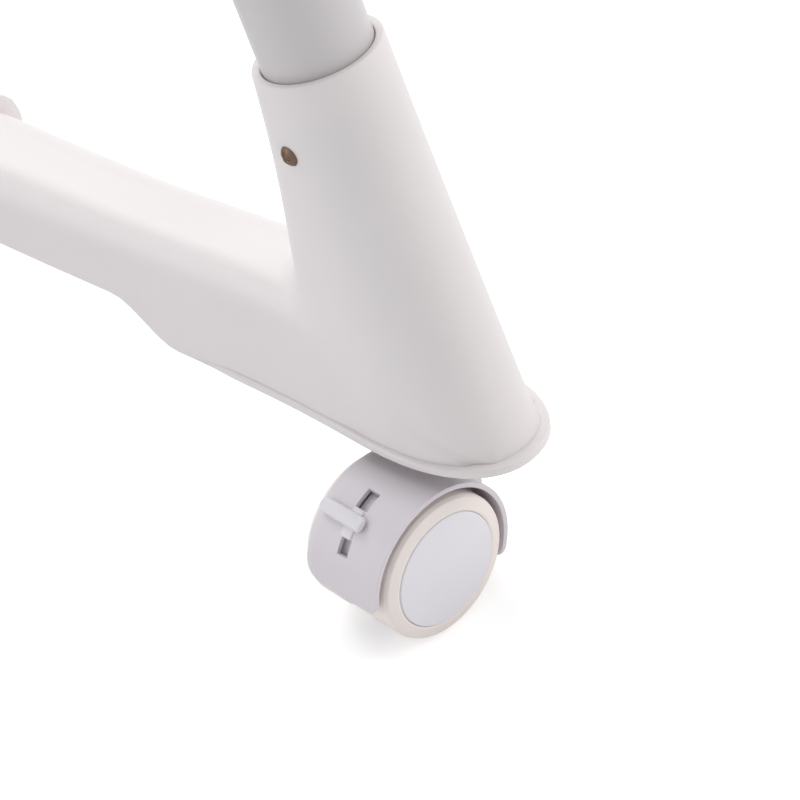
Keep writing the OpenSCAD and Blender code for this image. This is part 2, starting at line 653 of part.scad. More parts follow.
module visor_pins() color("silver") hood_frame() on_sides() {
    translate([0, 0, dome_r - dome_wall - 2]) cylinder(r = visor_pin_d / 2, h = visor_out - dome_r + dome_wall + 3);
    translate([0, 0, visor_out + skin]) cylinder(r = visor_pin_d / 2 + 5, h = 3);
}

// ---------------------------------------------------------------- blower housing

module housing_block(inset) hull() for (p = housing_edges) for (side = [-1, 1])
    translate([side * (housing_half - housing_r), p[0], p[1]]) sphere(r = housing_r - inset, $fn = 32);
module rear_housing() color("white") hood_frame() difference() {
    union() {
        difference() {
            housing_block(0);
            difference() {
                housing_block(housing_wall);
                translate([-housing_back, bulkhead, -housing_back]) cube([2 * housing_back, housing_wall, 2 * housing_back]);
            }
            fan_frame(bulkhead - 5) cylinder(r = port_r + 1, h = 20);
        }
        translate([-lug_half, pivot_back - 13, -pivot_down]) cube([2 * lug_half, 26, pivot_down + housing_low + 2]);
        translate([0, pivot_back, -pivot_down]) rotate([0, 90, 0]) cylinder(r = 14, h = 2 * lug_half, center = true);
        translate([gland_x, gland_y, housing_low - 2]) cylinder(r = 10, h = 6);
    }
    sphere(r = dome_r + skin / 3, $fn = 96);
    translate([0, pivot_back, -pivot_down]) rotate([0, 90, 0]) cylinder(r = pin_d / 2 + run, h = 80, center = true);
    fan_frame(housing_back - 20) cylinder(r = grille_d / 2 + slip, h = 40);
    panel_frame() translate([0, 0, -10]) plate(window, 4, 20);
    translate([gland_x, gland_y, housing_low - 10]) cylinder(r = gland_d / 2 + run, h = 20);
}
module intake_grille() color("lightgray") hood_frame() fan_frame(housing_back - 4) difference() {
    union() {
        cylinder(r = grille_d / 2, h = 4);
        translate([0, 0, 4]) cylinder(r = grille_d / 2 + 4, h = 2);
    }
    for (i = [-4:4]) let (h = 2 * sqrt(pow(grille_d / 2 - 6, 2) - pow(10 * i, 2)))
        translate([10 * i - 3, -h / 2, -eps]) cube([6, h, 8]);
}
module heater_frame() color("tan") hood_frame() fan_frame(bulkhead) {
    translate([0, 0, -9]) ring(port_r + 1 - run, port_r - 3, 9 + housing_wall);
    translate([0, 0, housing_wall]) ring(port_r + 6, port_r - 3, 3);
    translate([0, 0, housing_wall]) ring(motor_r + 2, motor_r, 14);
    for (a = [0:90:270]) rotate([0, 0, a + 45]) translate([motor_r + 1, -2, housing_wall]) cube([port_r - motor_r - 2, 4, 3]);
}
module heater_coil() color("chocolate") hood_frame() fan_frame(bulkhead + housing_wall - 3)
    rotate_extrude() translate([(motor_r + port_r) / 2, 0]) circle(3, $fn = 32);
module blower_motor() color("darkgray") hood_frame() fan_frame(bulkhead + housing_wall) {
    cylinder(r = motor_r - run, h = motor_len);
    translate([0, 0, motor_len - 1]) cylinder(r = shaft_d / 2, h = 32);
}
module impeller() color("gainsboro") hood_frame() fan_frame(bulkhead + housing_wall + motor_len + 3) {
    difference() {
        union() {
            cylinder(r = fan_d / 2, h = 2);
            cylinder(r = 9, h = 18);
        }
        translate([0, 0, -eps]) cylinder(r = shaft_d / 2 + run, h = 40);
    }
    for (i = [0:blades - 1]) rotate([0, 0, 360 * i / blades]) translate([fan_d / 2 - 7, 0, 2 - eps])
        rotate([0, 0, 35]) translate([-5, -0.75, 0]) cube([10, 1.5, 22]);
    translate([0, 0, 24 - 2 * eps]) ring(fan_d / 2, fan_d / 2 - 12, 2);
}
module control_panel() color("silver") hood_frame() panel_frame() difference() {
    union() {
        plate(panel_size, 8, panel_t);
        translate([-well[0] / 2 - well_wall, -well[1] / 2 - well_wall, -well[2]])
            cube([well[0] + 2 * well_wall, well[1] + 2 * well_wall, well[2] + 1]);
    }
    translate([-well[0] / 2, -well[1] / 2, -well[2] + well_wall]) cube([well[0], well[1], well[2] + 10]);
    rotate([0, 90, 0]) translate([2, 0, 0]) cylinder(r = 1.5 + run, h = 40, center = true);
    for (s = [-1, 1]) translate([s * knob_off, 0, -20]) cylinder(r = shaft_d / 2 + run, h = 40);
    translate([0, lamp_y, -20]) cylinder(r = lamp_d / 2 + run, h = 40);
}
module unit_box() difference() {
    translate([-unit_w / 2, -unit_w / 2, -unit_h]) cube([unit_w, unit_w, unit_h]);
    translate([0, 0, -14]) cylinder(r = shaft_d / 2 + run, h = 40);
}
module timer_unit() color("ivory") hood_frame() panel_frame() translate([knob_off, 0, 0]) unit_box();
module heat_selector() color("ivory") hood_frame() panel_frame() translate([-knob_off, 0, 0]) unit_box();
module knob() {
    translate([0, 0, -13]) cylinder(r = shaft_d / 2, h = panel_t + 14);
    translate([0, 0, panel_t + skin]) cylinder(r = knob_d / 2, h = 4);
    translate([0, 0, panel_t + skin + 4]) cylinder(r = knob_d / 2 - 3, h = 11);
    translate([-2, -knob_d / 2 + 3.5, panel_t + skin + 4]) cube([4, knob_d - 7, 13]);
}
module timer_knob() color("dimgray") hood_frame() panel_frame() translate([knob_off, 0, 0]) knob();
module heat_knob() color("dimgray") hood_frame() panel_frame() translate([-knob_off, 0, 0]) knob();
module power_rocker() color("firebrick") hood_frame() panel_frame() {
    translate([-well[0] / 2 + skin, -well[1] / 2 + 0.8, -5]) cube([well[0] - 2 * skin, well[1] - 1.6, 10]);
    translate([0, 0, -2]) rotate([0, 90, 0]) cylinder(r = 1.5, h = well[0] + 2.4, center = true);
}
module pilot_lamp() color("orange") hood_frame() panel_frame() translate([0, lamp_y, 0]) {
    translate([0, 0, -4]) cylinder(r = lamp_d / 2, h = panel_t + 4);
    translate([0, 0, panel_t]) intersection() {
        cylinder(r = 5, h = 4);
        translate([0, 0, -1.5]) sphere(r = 5.2);
    }
}
module cord_gland() color("dimgray") hood_frame() translate([gland_x, gland_y, housing_low]) difference() {
    union() {
        translate([0, 0, -8]) cylinder(r = 10, h = 6);
        translate([0, 0, -3]) cylinder(r = gland_d / 2, h = 13);
    }
    translate([0, 0, -9]) cylinder(r = gland_bore / 2, h = 30);
}

// ---------------------------------------------------------------- nodes

rear_foot();
front_leg_right();
front_leg_left();
hub();
hub_cap();
hub_weight();
hub_screws();
lower_tube();
mast_screws();
tube_bush();
collar();
clamp_knob();
upper_tube();
hood_bracket();
tilt_pin();
tilt_knob();
rear_caster_hood();
rear_caster_stem();
rear_caster_axle();
rear_caster_brake();
rear_caster_near_wheel();
rear_caster_near_tyre();
rear_caster_far_wheel();
rear_caster_far_tyre();
right_caster_hood();
right_caster_stem();
right_caster_axle();
right_caster_brake();
right_caster_near_wheel();
right_caster_near_tyre();
right_caster_far_wheel();
right_caster_far_tyre();
left_caster_hood();
left_caster_stem();
left_caster_axle();
left_caster_brake();
left_caster_near_wheel();
left_caster_near_tyre();
left_caster_far_wheel();
left_caster_far_tyre();
hood_shell();
hood_liner();
hood_rim();
visor();
visor_pins();
rear_housing();
intake_grille();
blower_motor();
impeller();
heater_frame();
heater_coil();
control_panel();
timer_unit();
heat_selector();
timer_knob();
heat_knob();
power_rocker();
pilot_lamp();
cord_gland();
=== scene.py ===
# %% [markdown]
# # A salon hood dryer on its rolling stand
# The construction is already settled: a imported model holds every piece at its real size, and its joints.
# This script gives that model its looks. Each step first says what the piece is on the real machine, how
# it could be made in Blender, and why one way was chosen. Shapes are written in millimetres, as on a
# drawing, and become metres when their mesh is made.

# %% Load the frame
import json
import math

import bmesh
import bpy
import numpy as np
from mathutils import Matrix, Vector


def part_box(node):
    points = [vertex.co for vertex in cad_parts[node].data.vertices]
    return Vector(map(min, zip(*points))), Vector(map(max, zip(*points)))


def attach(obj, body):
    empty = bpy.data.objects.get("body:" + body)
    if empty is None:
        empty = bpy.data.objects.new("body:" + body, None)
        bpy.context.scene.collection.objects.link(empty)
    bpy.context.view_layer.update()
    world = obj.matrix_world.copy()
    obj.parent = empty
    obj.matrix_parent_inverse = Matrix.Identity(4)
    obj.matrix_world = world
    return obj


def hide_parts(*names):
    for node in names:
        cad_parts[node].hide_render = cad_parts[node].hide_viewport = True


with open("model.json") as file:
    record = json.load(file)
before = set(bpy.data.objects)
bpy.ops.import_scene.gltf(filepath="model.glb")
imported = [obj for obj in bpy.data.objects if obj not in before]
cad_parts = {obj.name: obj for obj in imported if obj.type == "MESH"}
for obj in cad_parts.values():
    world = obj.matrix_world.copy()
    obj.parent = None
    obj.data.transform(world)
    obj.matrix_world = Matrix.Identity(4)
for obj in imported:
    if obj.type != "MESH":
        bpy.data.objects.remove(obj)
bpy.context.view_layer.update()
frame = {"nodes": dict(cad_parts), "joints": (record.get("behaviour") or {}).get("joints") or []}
MM = 0.001
joints = {joint["name"]: joint for joint in frame["joints"]}

# %% [markdown]
# ## Where things are
# Nothing is measured again here. A hinge's point and axis come from the joints, and a node's box gives
# heights and lengths. A `Place` is a small coordinate frame: a shape is drawn in it round its own origin,
# and `Place.out` carries the finished points to the dryer's frame. One drawing then serves both front
# legs and all three casters.


# %% Places
class Place:
    """An origin in millimetres and three axes as rows: a local point p lies at origin + p @ axes."""

    def __init__(self, origin, z=(0, 0, 1), x=(1, 0, 0)):
        self.origin = np.array(origin, float)
        z = np.array(z, float) / np.linalg.norm(z)
        x = np.array(x, float) - np.dot(x, z) * z
        x /= np.linalg.norm(x)
        y = np.cross(z, x)
        self.axes = np.array([x, y, z])

    def out(self, points):
        return self.origin + np.asarray(points, float) @ self.axes

    def shifted(self, x=0.0, y=0.0, z=0.0):
        """The same axes with the origin moved along them."""
        moved = Place((0, 0, 0))
        moved.axes = self.axes
        moved.origin = self.out([x, y, z])
        return moved


def joint_point(name):
    return np.array(joints[name]["pos_m"]) / MM


def joint_axis(name):
    return np.array(joints[name]["axis"], float)


def node_box(name):
    """Lowest and highest corner of a node, in millimetres."""
    low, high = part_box(name)
    return np.array(low) / MM, np.array(high) / MM


UP = np.array([0.0, 0.0, 1.0])
CASTERS = ("rear", "right", "left")
stems = {k: joint_point(f"{k}_caster_swivel") * [1, 1, 0] for k in CASTERS}
hub_middle = sum(node_box("hub_cap")) / 2 * [0, 1, 0]
mast_axis = joint_axis("mast_height")
lean = math.acos(mast_axis[2])
print("mast leans", round(math.degrees(lean), 2), "degrees")


def heading(name):
    """Unit vector from the hub to a leg's stem."""
    way = stems[name] - hub_middle
    return way / np.linalg.norm(way)


# a leg's own frame has its origin on the floor under the stem and its y axis away from the hub
leg_places = {
    "rear": Place(stems["rear"]),
    "right": Place(stems["right"], x=np.cross(heading("right"), UP)),
    "left": Place(stems["left"], x=np.cross(heading("left"), UP)),
}

# %% [markdown]
# ## The camera
# The view is a close one of the rear foot, from behind and above, with a long lens, so that parallel
# edges stay almost parallel. The three axes of such a camera can be measured from a few known points.
# They are written down as directions, and the ray through the middle gives the way the camera looks.

# %% Camera
IMAGE_SIDE = 800
FOCAL_PIXELS = 5000.0
CAMERA_AT = np.array([833.4, 1143.6, 1091.8])
LOOK_RIGHT = np.array([-0.6174, 0.7757, -0.1309])
LOOK_UP = np.array([-0.5801, -0.3365, 0.7418])
LOOK_BACK = np.array([0.5313, 0.5339, 0.6578])
MIDDLE_OFF = (37.44, 13.19)  # how far right and down the lens's axis falls from the picture's middle


def add_camera():
    """A camera whose middle ray is turned so that no lens shift is needed."""
    ray = -LOOK_BACK * FOCAL_PIXELS - LOOK_RIGHT * MIDDLE_OFF[0] + LOOK_UP * MIDDLE_OFF[1]
    back = -ray / np.linalg.norm(ray)
    right = np.cross(LOOK_UP, back)
    right /= np.linalg.norm(right)
    up = np.cross(back, right)
    data = bpy.data.cameras.new("camera")
    data.sensor_width = 36.0
    data.lens = data.sensor_width * FOCAL_PIXELS / IMAGE_SIDE
    data.clip_end = 50.0
    camera = bpy.data.objects.new("camera", data)
    turn = Matrix(np.array([right, up, back]).T.tolist()).to_4x4()
    camera.matrix_world = Matrix.Translation(Vector(CAMERA_AT * MM)) @ turn
    bpy.context.scene.collection.objects.link(camera)
    bpy.context.scene.camera = camera
    return camera


camera = add_camera()
print("lens", camera.data.lens, "mm")

# %% [markdown]
# ## Light and floor
# Product pictures of white plastic need light that wraps round it and still leaves one side a little
# darker, or the form goes flat. Here a pale world fills the shadows, and three large soft lamps shape the
# form: one above, one behind the toe and a weaker one at the side. Lamps that large keep every shadow
# soft. The floor is white by its own colour. Only for the eye of the camera and for mirrors the world is
# plain white, so that the white background costs no extra light on the plastic.


# %% Node helper
def add(tree, kind, inputs=None, **settings):
    """Adds a shader node. An input is a value, or another node's output socket to link."""
    made = tree.nodes.new(kind)
    for name, value in settings.items():
        setattr(made, name, value)
    for name, value in (inputs or {}).items():
        if isinstance(value, bpy.types.NodeSocket):
            tree.links.new(value, made.inputs[name])
        else:
            made.inputs[name].default_value = value
    return made


# %% World and lamps
FILL = 0.56  # strength of the light that comes from everywhere


def set_world():
    world = bpy.data.worlds.new("studio")
    bpy.context.scene.world = world
    world.use_nodes = True
    tree = world.node_tree
    tree.nodes.clear()
    path = add(tree, "ShaderNodeLightPath")
    seen = add(tree, "ShaderNodeMath", {0: path.outputs["Is Camera Ray"], 1: path.outputs["Is Glossy Ray"]},
               operation="MAXIMUM")
    seen = add(tree, "ShaderNodeMath", {0: seen.outputs[0], 1: path.outputs["Is Transmission Ray"]},
               operation="MAXIMUM")
    fill = add(tree, "ShaderNodeBackground", {"Color": (0.97, 0.98, 1.0, 1), "Strength": FILL})
    white = add(tree, "ShaderNodeBackground", {"Color": (1, 1, 1, 1), "Strength": 1.0})
    both = add(tree, "ShaderNodeMixShader", {0: seen.outputs[0], 1: fill.outputs[0], 2: white.outputs[0]})
    out = add(tree, "ShaderNodeOutputWorld")
    tree.links.new(both.outputs[0], out.inputs["Surface"])


def add_lamp(name, towards, distance, size, power, colour=(1, 1, 1)):
    """A square area lamp that shines at the middle of the dryer from the direction `towards`."""
    data = bpy.data.lights.new(name, "AREA")
    data.shape = "SQUARE"
    data.size = size
    data.energy = power
    data.color = colour
    lamp = bpy.data.objects.new(name, data)
    way = Vector(towards).normalized()
    turn = way.to_track_quat("Z", "Y").to_matrix().to_4x4()
    lamp.matrix_world = Matrix.Translation(Vector((0, 0, 0.5)) + way * distance) @ turn
    bpy.context.scene.collection.objects.link(lamp)


set_world()
add_lamp("lamp_top", (-0.25, -0.55, 1.0), 9.6, 7.2, 590, (0.965, 1.0, 1.0))
add_lamp("lamp_toe_side", (-0.95, 0.85, 0.45), 9.6, 6.0, 330, (1.0, 0.985, 0.96))
add_lamp("lamp_hub_side", (0.95, -0.75, 0.55), 10.2, 6.0, 170, (0.97, 0.97, 1.0))
bpy.context.scene.view_settings.view_transform = "Standard"


# %% Floor
def add_floor(half=14.0):
    mesh = bpy.data.meshes.new("floor")
    corners = [(-half, -half, 0), (half, -half, 0), (half, half, 0), (-half, half, 0)]
    mesh.from_pydata(corners, [], [(0, 1, 2, 3)])
    floor = bpy.data.objects.new("floor", mesh)
    bpy.context.scene.collection.objects.link(floor)
    paint = bpy.data.materials.new("floor_white")
    paint.use_nodes = True
    tree = paint.node_tree
    tree.nodes.clear()
    path = add(tree, "ShaderNodeLightPath")
    base = add(tree, "ShaderNodeBsdfDiffuse", {"Color": (0.93, 0.93, 0.93, 1)})
    glow = add(tree, "ShaderNodeEmission", {"Color": (1, 1, 1, 1), "Strength": 0.36})
    none = add(tree, "ShaderNodeEmission", {"Color": (0, 0, 0, 1), "Strength": 0.0})
    lift = add(tree, "ShaderNodeMixShader",
               {0: path.outputs["Is Camera Ray"], 1: none.outputs[0], 2: glow.outputs[0]})
    both = add(tree, "ShaderNodeAddShader", {0: base.outputs[0], 1: lift.outputs[0]})
    out = add(tree, "ShaderNodeOutputMaterial")
    tree.links.new(both.outputs[0], out.inputs["Surface"])
    mesh.materials.append(paint)


add_floor()

# %% [markdown]
# ## Finishes
# White plastic is never one flat white. Injection moulding leaves a fine satin grain, the wall's
# thickness gives faint cloudy patches, and hands and mops polish some places more than others. That
# behaviour is shared by nearly every piece here, so it is one node group, `moulded_skin`. It gives a
# colour, a roughness and a normal, and each material sets how coarse and how strong their changes are.
# Metal has its own group, `drawn_metal`, with fine lines along one direction.


# %% Shared effects
FLOAT, COLOUR, VECTOR = "NodeSocketFloat", "NodeSocketColor", "NodeSocketVector"
RESULTS = {"Colour": COLOUR, "Roughness": FLOAT, "Normal": VECTOR}


def new_group(name, inputs):
    """An empty shader node group with inputs (name, type, default), and its input node."""
    group = bpy.data.node_groups.new(name, "ShaderNodeTree")
    for label, kind, default in inputs:
        group.interface.new_socket(label, in_out="INPUT", socket_type=kind).default_value = default
    for label, kind in RESULTS.items():
        group.interface.new_socket(label, in_out="OUTPUT", socket_type=kind)
    return group, add(group, "NodeGroupInput")


def give_results(group, *last):
    """Links the last nodes of an effect to its results, in their order."""
    result = add(group, "NodeGroupOutput")
    for label, node in zip(RESULTS, last):
        group.links.new(node.outputs[0], result.inputs[label])
    return group


ROUGHNESS_SWING = 0.02


def make_moulded_skin():
    """Cloudy patches in colour and roughness, and a fine grain. The roughness swings very little, because
    a patch that crosses the limit at which the denoiser changes its way of working shows an edge."""
    group, given = new_group("moulded_skin", [
        ("Colour", COLOUR, (0.8, 0.8, 0.8, 1)), ("Roughness", FLOAT, 0.45), ("Grain", FLOAT, 2500.0),
        ("Depth", FLOAT, 0.00002), ("Mottle", FLOAT, 0.02)])
    place = add(group, "ShaderNodeTexCoord").outputs["Object"]
    cloud = add(group, "ShaderNodeTexNoise",
                {"Vector": place, "Scale": 28.0, "Detail": 3.0, "Roughness": 0.55})
    grain = add(group, "ShaderNodeTexNoise",
                {"Vector": place, "Scale": given.outputs["Grain"], "Detail": 2.0})
    # the cloud swings round 0.5 by about a quarter, so `wide` runs from about -1 to 1
    swing = add(group, "ShaderNodeMath", {0: cloud.outputs[0], 1: 0.5}, operation="SUBTRACT")
    wide = add(group, "ShaderNodeMath", {0: swing.outputs[0], 1: 4.0}, operation="MULTIPLY")
    tint = add(group, "ShaderNodeMath", {0: wide.outputs[0], 1: given.outputs["Mottle"], 2: 1.0},
               operation="MULTIPLY_ADD")
    colour = add(group, "ShaderNodeVectorMath", {0: given.outputs["Colour"], 1: tint.outputs[0]},
                 operation="MULTIPLY")
    rough = add(group, "ShaderNodeMath",
                {0: wide.outputs[0], 1: ROUGHNESS_SWING, 2: given.outputs["Roughness"]},
                operation="MULTIPLY_ADD")
    bump = add(group, "ShaderNodeBump", {"Height": grain.outputs[0], "Distance": given.outputs["Depth"],
                                         "Strength": 1.0})
    return give_results(group, colour, rough, bump)


def make_drawn_metal():
    """Fine lines along the direction whose stretch is small, and stains in the colour."""
    group, given = new_group("drawn_metal", [
        ("Colour", COLOUR, (0.6, 0.6, 0.6, 1)), ("Roughness", FLOAT, 0.3),
        ("Stretch", VECTOR, (1500, 1500, 40)), ("Stain", FLOAT, 0.1)])
    place = add(group, "ShaderNodeTexCoord").outputs["Object"]
    along = add(group, "ShaderNodeVectorMath", {0: place, 1: given.outputs["Stretch"]}, operation="MULTIPLY")
    lines = add(group, "ShaderNodeTexNoise", {"Vector": along.outputs[0], "Scale": 1.0, "Detail": 2.0})
    stain = add(group, "ShaderNodeTexNoise", {"Vector": place, "Scale": 160.0, "Detail": 4.0})
    swing = add(group, "ShaderNodeMath", {0: stain.outputs[0], 1: 0.5}, operation="SUBTRACT")
    tint = add(group, "ShaderNodeMath", {0: swing.outputs[0], 1: given.outputs["Stain"], 2: 1.0},
               operation="MULTIPLY_ADD")
    colour = add(group, "ShaderNodeVectorMath", {0: given.outputs["Colour"], 1: tint.outputs[0]},
                 operation="MULTIPLY")
    rough = add(group, "ShaderNodeMath", {0: lines.outputs[0], 1: 0.16, 2: given.outputs["Roughness"]},
                operation="MULTIPLY_ADD")
    bump = add(group, "ShaderNodeBump", {"Height": lines.outputs[0], "Distance": 0.00001, "Strength": 0.6})
    return give_results(group, colour, rough, bump)


moulded_skin = make_moulded_skin()
drawn_metal = make_drawn_metal()


# %% Materials
MATERIALS = {}


def new_material(name):
    material = MATERIALS[name] = bpy.data.materials.new(name)
    material.use_nodes = True
    return material.node_tree, material.node_tree.nodes["Principled BSDF"]


def fill_in(node, values):
    for label, value in values.items():
        node.inputs[label].default_value = value


def use_group(tree, group, shader, values):
    made = add(tree, "ShaderNodeGroup", node_tree=group)
    fill_in(made, values)
    for label, socket in zip(RESULTS, ("Base Color", "Roughness", "Normal")):
        tree.links.new(made.outputs[label], shader.inputs[socket])


def plastic(name, colour, roughness, grain=2500.0, depth=0.00001, mottle=0.012, coat=0.0, scatter=0.0):
    """Moulded plastic. `scatter` lets a little light pass through thin white walls."""
    tree, shader = new_material(name)
    use_group(tree, moulded_skin, shader, {"Colour": (*colour, 1), "Roughness": roughness, "Grain": grain,
                                           "Depth": depth, "Mottle": mottle})
    fill_in(shader, {"Coat Weight": coat, "Coat Roughness": 0.12})
    if scatter:
        fill_in(shader, {"Subsurface Weight": scatter, "Subsurface Radius": (1.0, 0.8, 0.7),
                         "Subsurface Scale": 0.003})


def metal(name, colour, roughness=0.25, stretch=(1500, 1500, 40), stain=0.1):
    tree, shader = new_material(name)
    use_group(tree, drawn_metal, shader, {"Colour": (*colour, 1), "Roughness": roughness,
                                          "Stretch": stretch, "Stain": stain})
    fill_in(shader, {"Metallic": 1.0})


def clear_sheet(name):
    """Smoke-tinted sheet that one can see through."""
    fill_in(new_material(name)[1], {"Base Color": (0.58, 0.66, 0.72, 1), "Roughness": 0.05, "IOR": 1.49,
                                    "Transmission Weight": 0.94})


def amber_lens(name):
    """An amber lens with a faint glow of its own."""
    fill_in(new_material(name)[1], {"Base Color": (0.85, 0.28, 0.03, 1), "Roughness": 0.12,
                                    "Emission Color": (1.0, 0.35, 0.04, 1), "Emission Strength": 0.25})


WARM_WHITE, TUBE_WHITE = (0.775, 0.728, 0.724), (0.605, 0.572, 0.575)
plastic("foot_plastic", WARM_WHITE, 0.40, scatter=0.12)
plastic("hub_plastic", WARM_WHITE, 0.38)
for tube_finish in ("mast_paint", "chromed_tube"):
    plastic(tube_finish, TUBE_WHITE, 0.33, grain=900, depth=0.000005, coat=0.2)
plastic("caster_plastic", (0.69, 0.645, 0.675), 0.46, grain=3200, depth=0.000012)
plastic("brake_plastic", (0.74, 0.715, 0.745), 0.40)
plastic("wheel_plastic", (0.82, 0.79, 0.835), 0.38)
plastic("tyre_cream", (0.88, 0.80, 0.76), 0.50, grain=1800, depth=0.00002, mottle=0.03)
plastic("hood_plastic", (0.735, 0.693, 0.690), 0.33, grain=220, depth=0.000004)
plastic("liner_plastic", (0.72, 0.72, 0.73), 0.40)
plastic("seal_rubber", (0.36, 0.365, 0.38), 0.55, grain=2600, depth=0.00002, mottle=0.03)
plastic("grille_plastic", (0.50, 0.51, 0.53), 0.42)
metal("panel_metal", (0.70, 0.70, 0.71), 0.32, (30, 1800, 1800), 0.05)
plastic("knob_plastic", (0.055, 0.057, 0.062), 0.36, mottle=0.05)
plastic("rocker_plastic", (0.45, 0.035, 0.03), 0.33, coat=0.3)
plastic("switch_plastic", (0.55, 0.53, 0.47), 0.5)
plastic("gland_rubber", (0.06, 0.06, 0.062), 0.6, mottle=0.05)
plastic("bush_plastic", (0.09, 0.09, 0.095), 0.5, mottle=0.04)
plastic("fan_plastic", (0.58, 0.57, 0.55), 0.45)
plastic("mica", (0.52, 0.42, 0.27), 0.6, mottle=0.12)
plastic("ballast", (0.10, 0.10, 0.105), 0.75, grain=900, depth=0.0001, mottle=0.15)
plastic("ink_dark", (0.03, 0.03, 0.035), 0.6)
plastic("ink_light", (0.80, 0.80, 0.80), 0.5)
metal("heater_wire", (0.33, 0.24, 0.19), 0.42, (300, 300, 300), 0.4)
metal("motor_steel", (0.50, 0.50, 0.50), 0.38, (400, 400, 400), 0.2)
metal("steel", (0.62, 0.62, 0.63))
metal("screw_steel", (0.17, 0.11, 0.085), 0.34, (700, 700, 700), 0.5)
clear_sheet("visor_clear")
amber_lens("lamp_plastic")
print("materials:", len(MATERIALS))

# %% [markdown]
# ## How the pieces are drawn
# Every new piece is made of grids: an array of points with rows and columns, worked out by a formula for
# all points at once. `Skin` collects grids, joins them along their edges and hands them to Blender as one
# mesh. Normals are worked out again after the doubles are merged, so no grid has to care which way round
# it was written. Most edges get their small radius in the profile itself, because a sharp edge catches no
# light, and that is what makes a render look like a drawing.


# %% Skin: grids joined into one piece
WELD = 0.004  # points closer than this become one


class Skin:
    """Collects quads from grids of points and n-sided caps. All points are in millimetres."""

    def __init__(self):
        self.points, self.quads, self.caps, self.paints, self.cap_paints, self.count = [], [], [], [], [], 0

    def grid(self, points, wrap_rows=False, wrap_cols=False, paint=0, keep=None):
        """Adds a grid (rows, columns, 3). `keep` is a mask of the quads that stay."""
        points = np.asarray(points, float)
        rows, cols = points.shape[:2]
        index = np.arange(rows * cols).reshape(rows, cols) + self.count
        if wrap_rows:
            index = np.concatenate([index, index[:1]], axis=0)
        if wrap_cols:
            index = np.concatenate([index, index[:, :1]], axis=1)
        quads = np.stack([index[:-1, :-1], index[1:, :-1], index[1:, 1:], index[:-1, 1:]], axis=-1)
        quads = quads[keep] if keep is not None else quads.reshape(-1, 4)
        self.points.append(points.reshape(-1, 3))
        self.quads.append(quads)
        self.paints.append(np.full(len(quads), paint))
        self.count += rows * cols
        return self

    def cap(self, loop, paint=0):
        """Adds one flat face with a corner at each point of the loop."""
        loop = np.asarray(loop, float)
        self.points.append(loop)
        self.caps.append((self.count + np.arange(len(loop))).tolist())
        self.cap_paints.append(paint)
        self.count += len(loop)
        return self

    def mesh(self, name):
        """The joined mesh, in metres, with its normals worked out again."""
        points = np.concatenate(self.points) * MM
        quads = np.concatenate(self.quads) if self.quads else np.zeros((0, 4), int)
        mesh = bpy.data.meshes.new(name)
        sizes = np.array([4] * len(quads) + [len(cap) for cap in self.caps])
        corners = np.concatenate([quads.ravel(), *self.caps]).astype(int)
        mesh.vertices.add(len(points))
        mesh.vertices.foreach_set("co", points.ravel())
        mesh.loops.add(len(corners))
        mesh.loops.foreach_set("vertex_index", corners)
        mesh.polygons.add(len(sizes))
        mesh.polygons.foreach_set("loop_start", np.concatenate([[0], np.cumsum(sizes)[:-1]]).astype(int))
        paints = np.concatenate([*self.paints, self.cap_paints]).astype(int)
        mesh.polygons.foreach_set("material_index", paints)
        mesh.update(calc_edges=True)
        shape = bmesh.new()
        shape.from_mesh(mesh)
        bmesh.ops.remove_doubles(shape, verts=shape.verts, dist=WELD * MM)
        bmesh.ops.dissolve_degenerate(shape, edges=shape.edges, dist=WELD * MM / 4)
        bmesh.ops.recalc_face_normals(shape, faces=shape.faces)
        shape.to_mesh(mesh)
        shape.free()
        return mesh

    def make(self, name, finish, body, slot, stands_for=(), sharp=34.0, cuts=()):
        """Makes the object, cuts its openings, gives it its materials and hands it to the frame."""
        mesh = self.mesh(name)
        if cuts:
            mesh = carved(mesh, cuts)
        edges = np.zeros(len(mesh.loops), int)
        mesh.loops.foreach_get("edge_index", edges)
        open_edges = int(np.sum(np.bincount(edges, minlength=len(mesh.edges)) != 2))
        mesh.polygons.foreach_set("use_smooth", np.ones(len(mesh.polygons), bool))
        mesh.set_sharp_from_angle(angle=math.radians(sharp))
        piece = bpy.data.objects.new(name, mesh)
        bpy.context.scene.collection.objects.link(piece)
        for label in (finish if isinstance(finish, (list, tuple)) else [finish]):
            mesh.materials.append(MATERIALS[label])
        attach(piece, body)
        if stands_for:
            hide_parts(*stands_for)
        print(f"{name}: {len(mesh.vertices)} points, {len(mesh.polygons)} faces, {open_edges} open edges")
        return piece


def carved(mesh, cuts):
    """Cuts other closed skins out of a mesh with Blender's exact boolean, and returns the new mesh."""
    piece = bpy.data.objects.new(mesh.name, mesh)
    bpy.context.scene.collection.objects.link(piece)
    tools = []
    for cut in cuts:
        tool = bpy.data.objects.new("cut", cut.mesh("cut"))
        bpy.context.scene.collection.objects.link(tool)
        step = piece.modifiers.new("cut", "BOOLEAN")
        step.operation, step.solver, step.object = "DIFFERENCE", "EXACT", tool
        tools.append(tool)
    bpy.context.view_layer.update()
    found = bpy.data.meshes.new_from_object(piece.evaluated_get(bpy.context.evaluated_depsgraph_get()))
    for thing in [piece, *tools]:
        old = thing.data
        bpy.data.objects.remove(thing)
        bpy.data.meshes.remove(old)
    return found


# %% [markdown]
# A few helpers draw most outlines: an outline with rounded corners, a profile turned round an axis, and
# an outline given a thickness with softened edges.


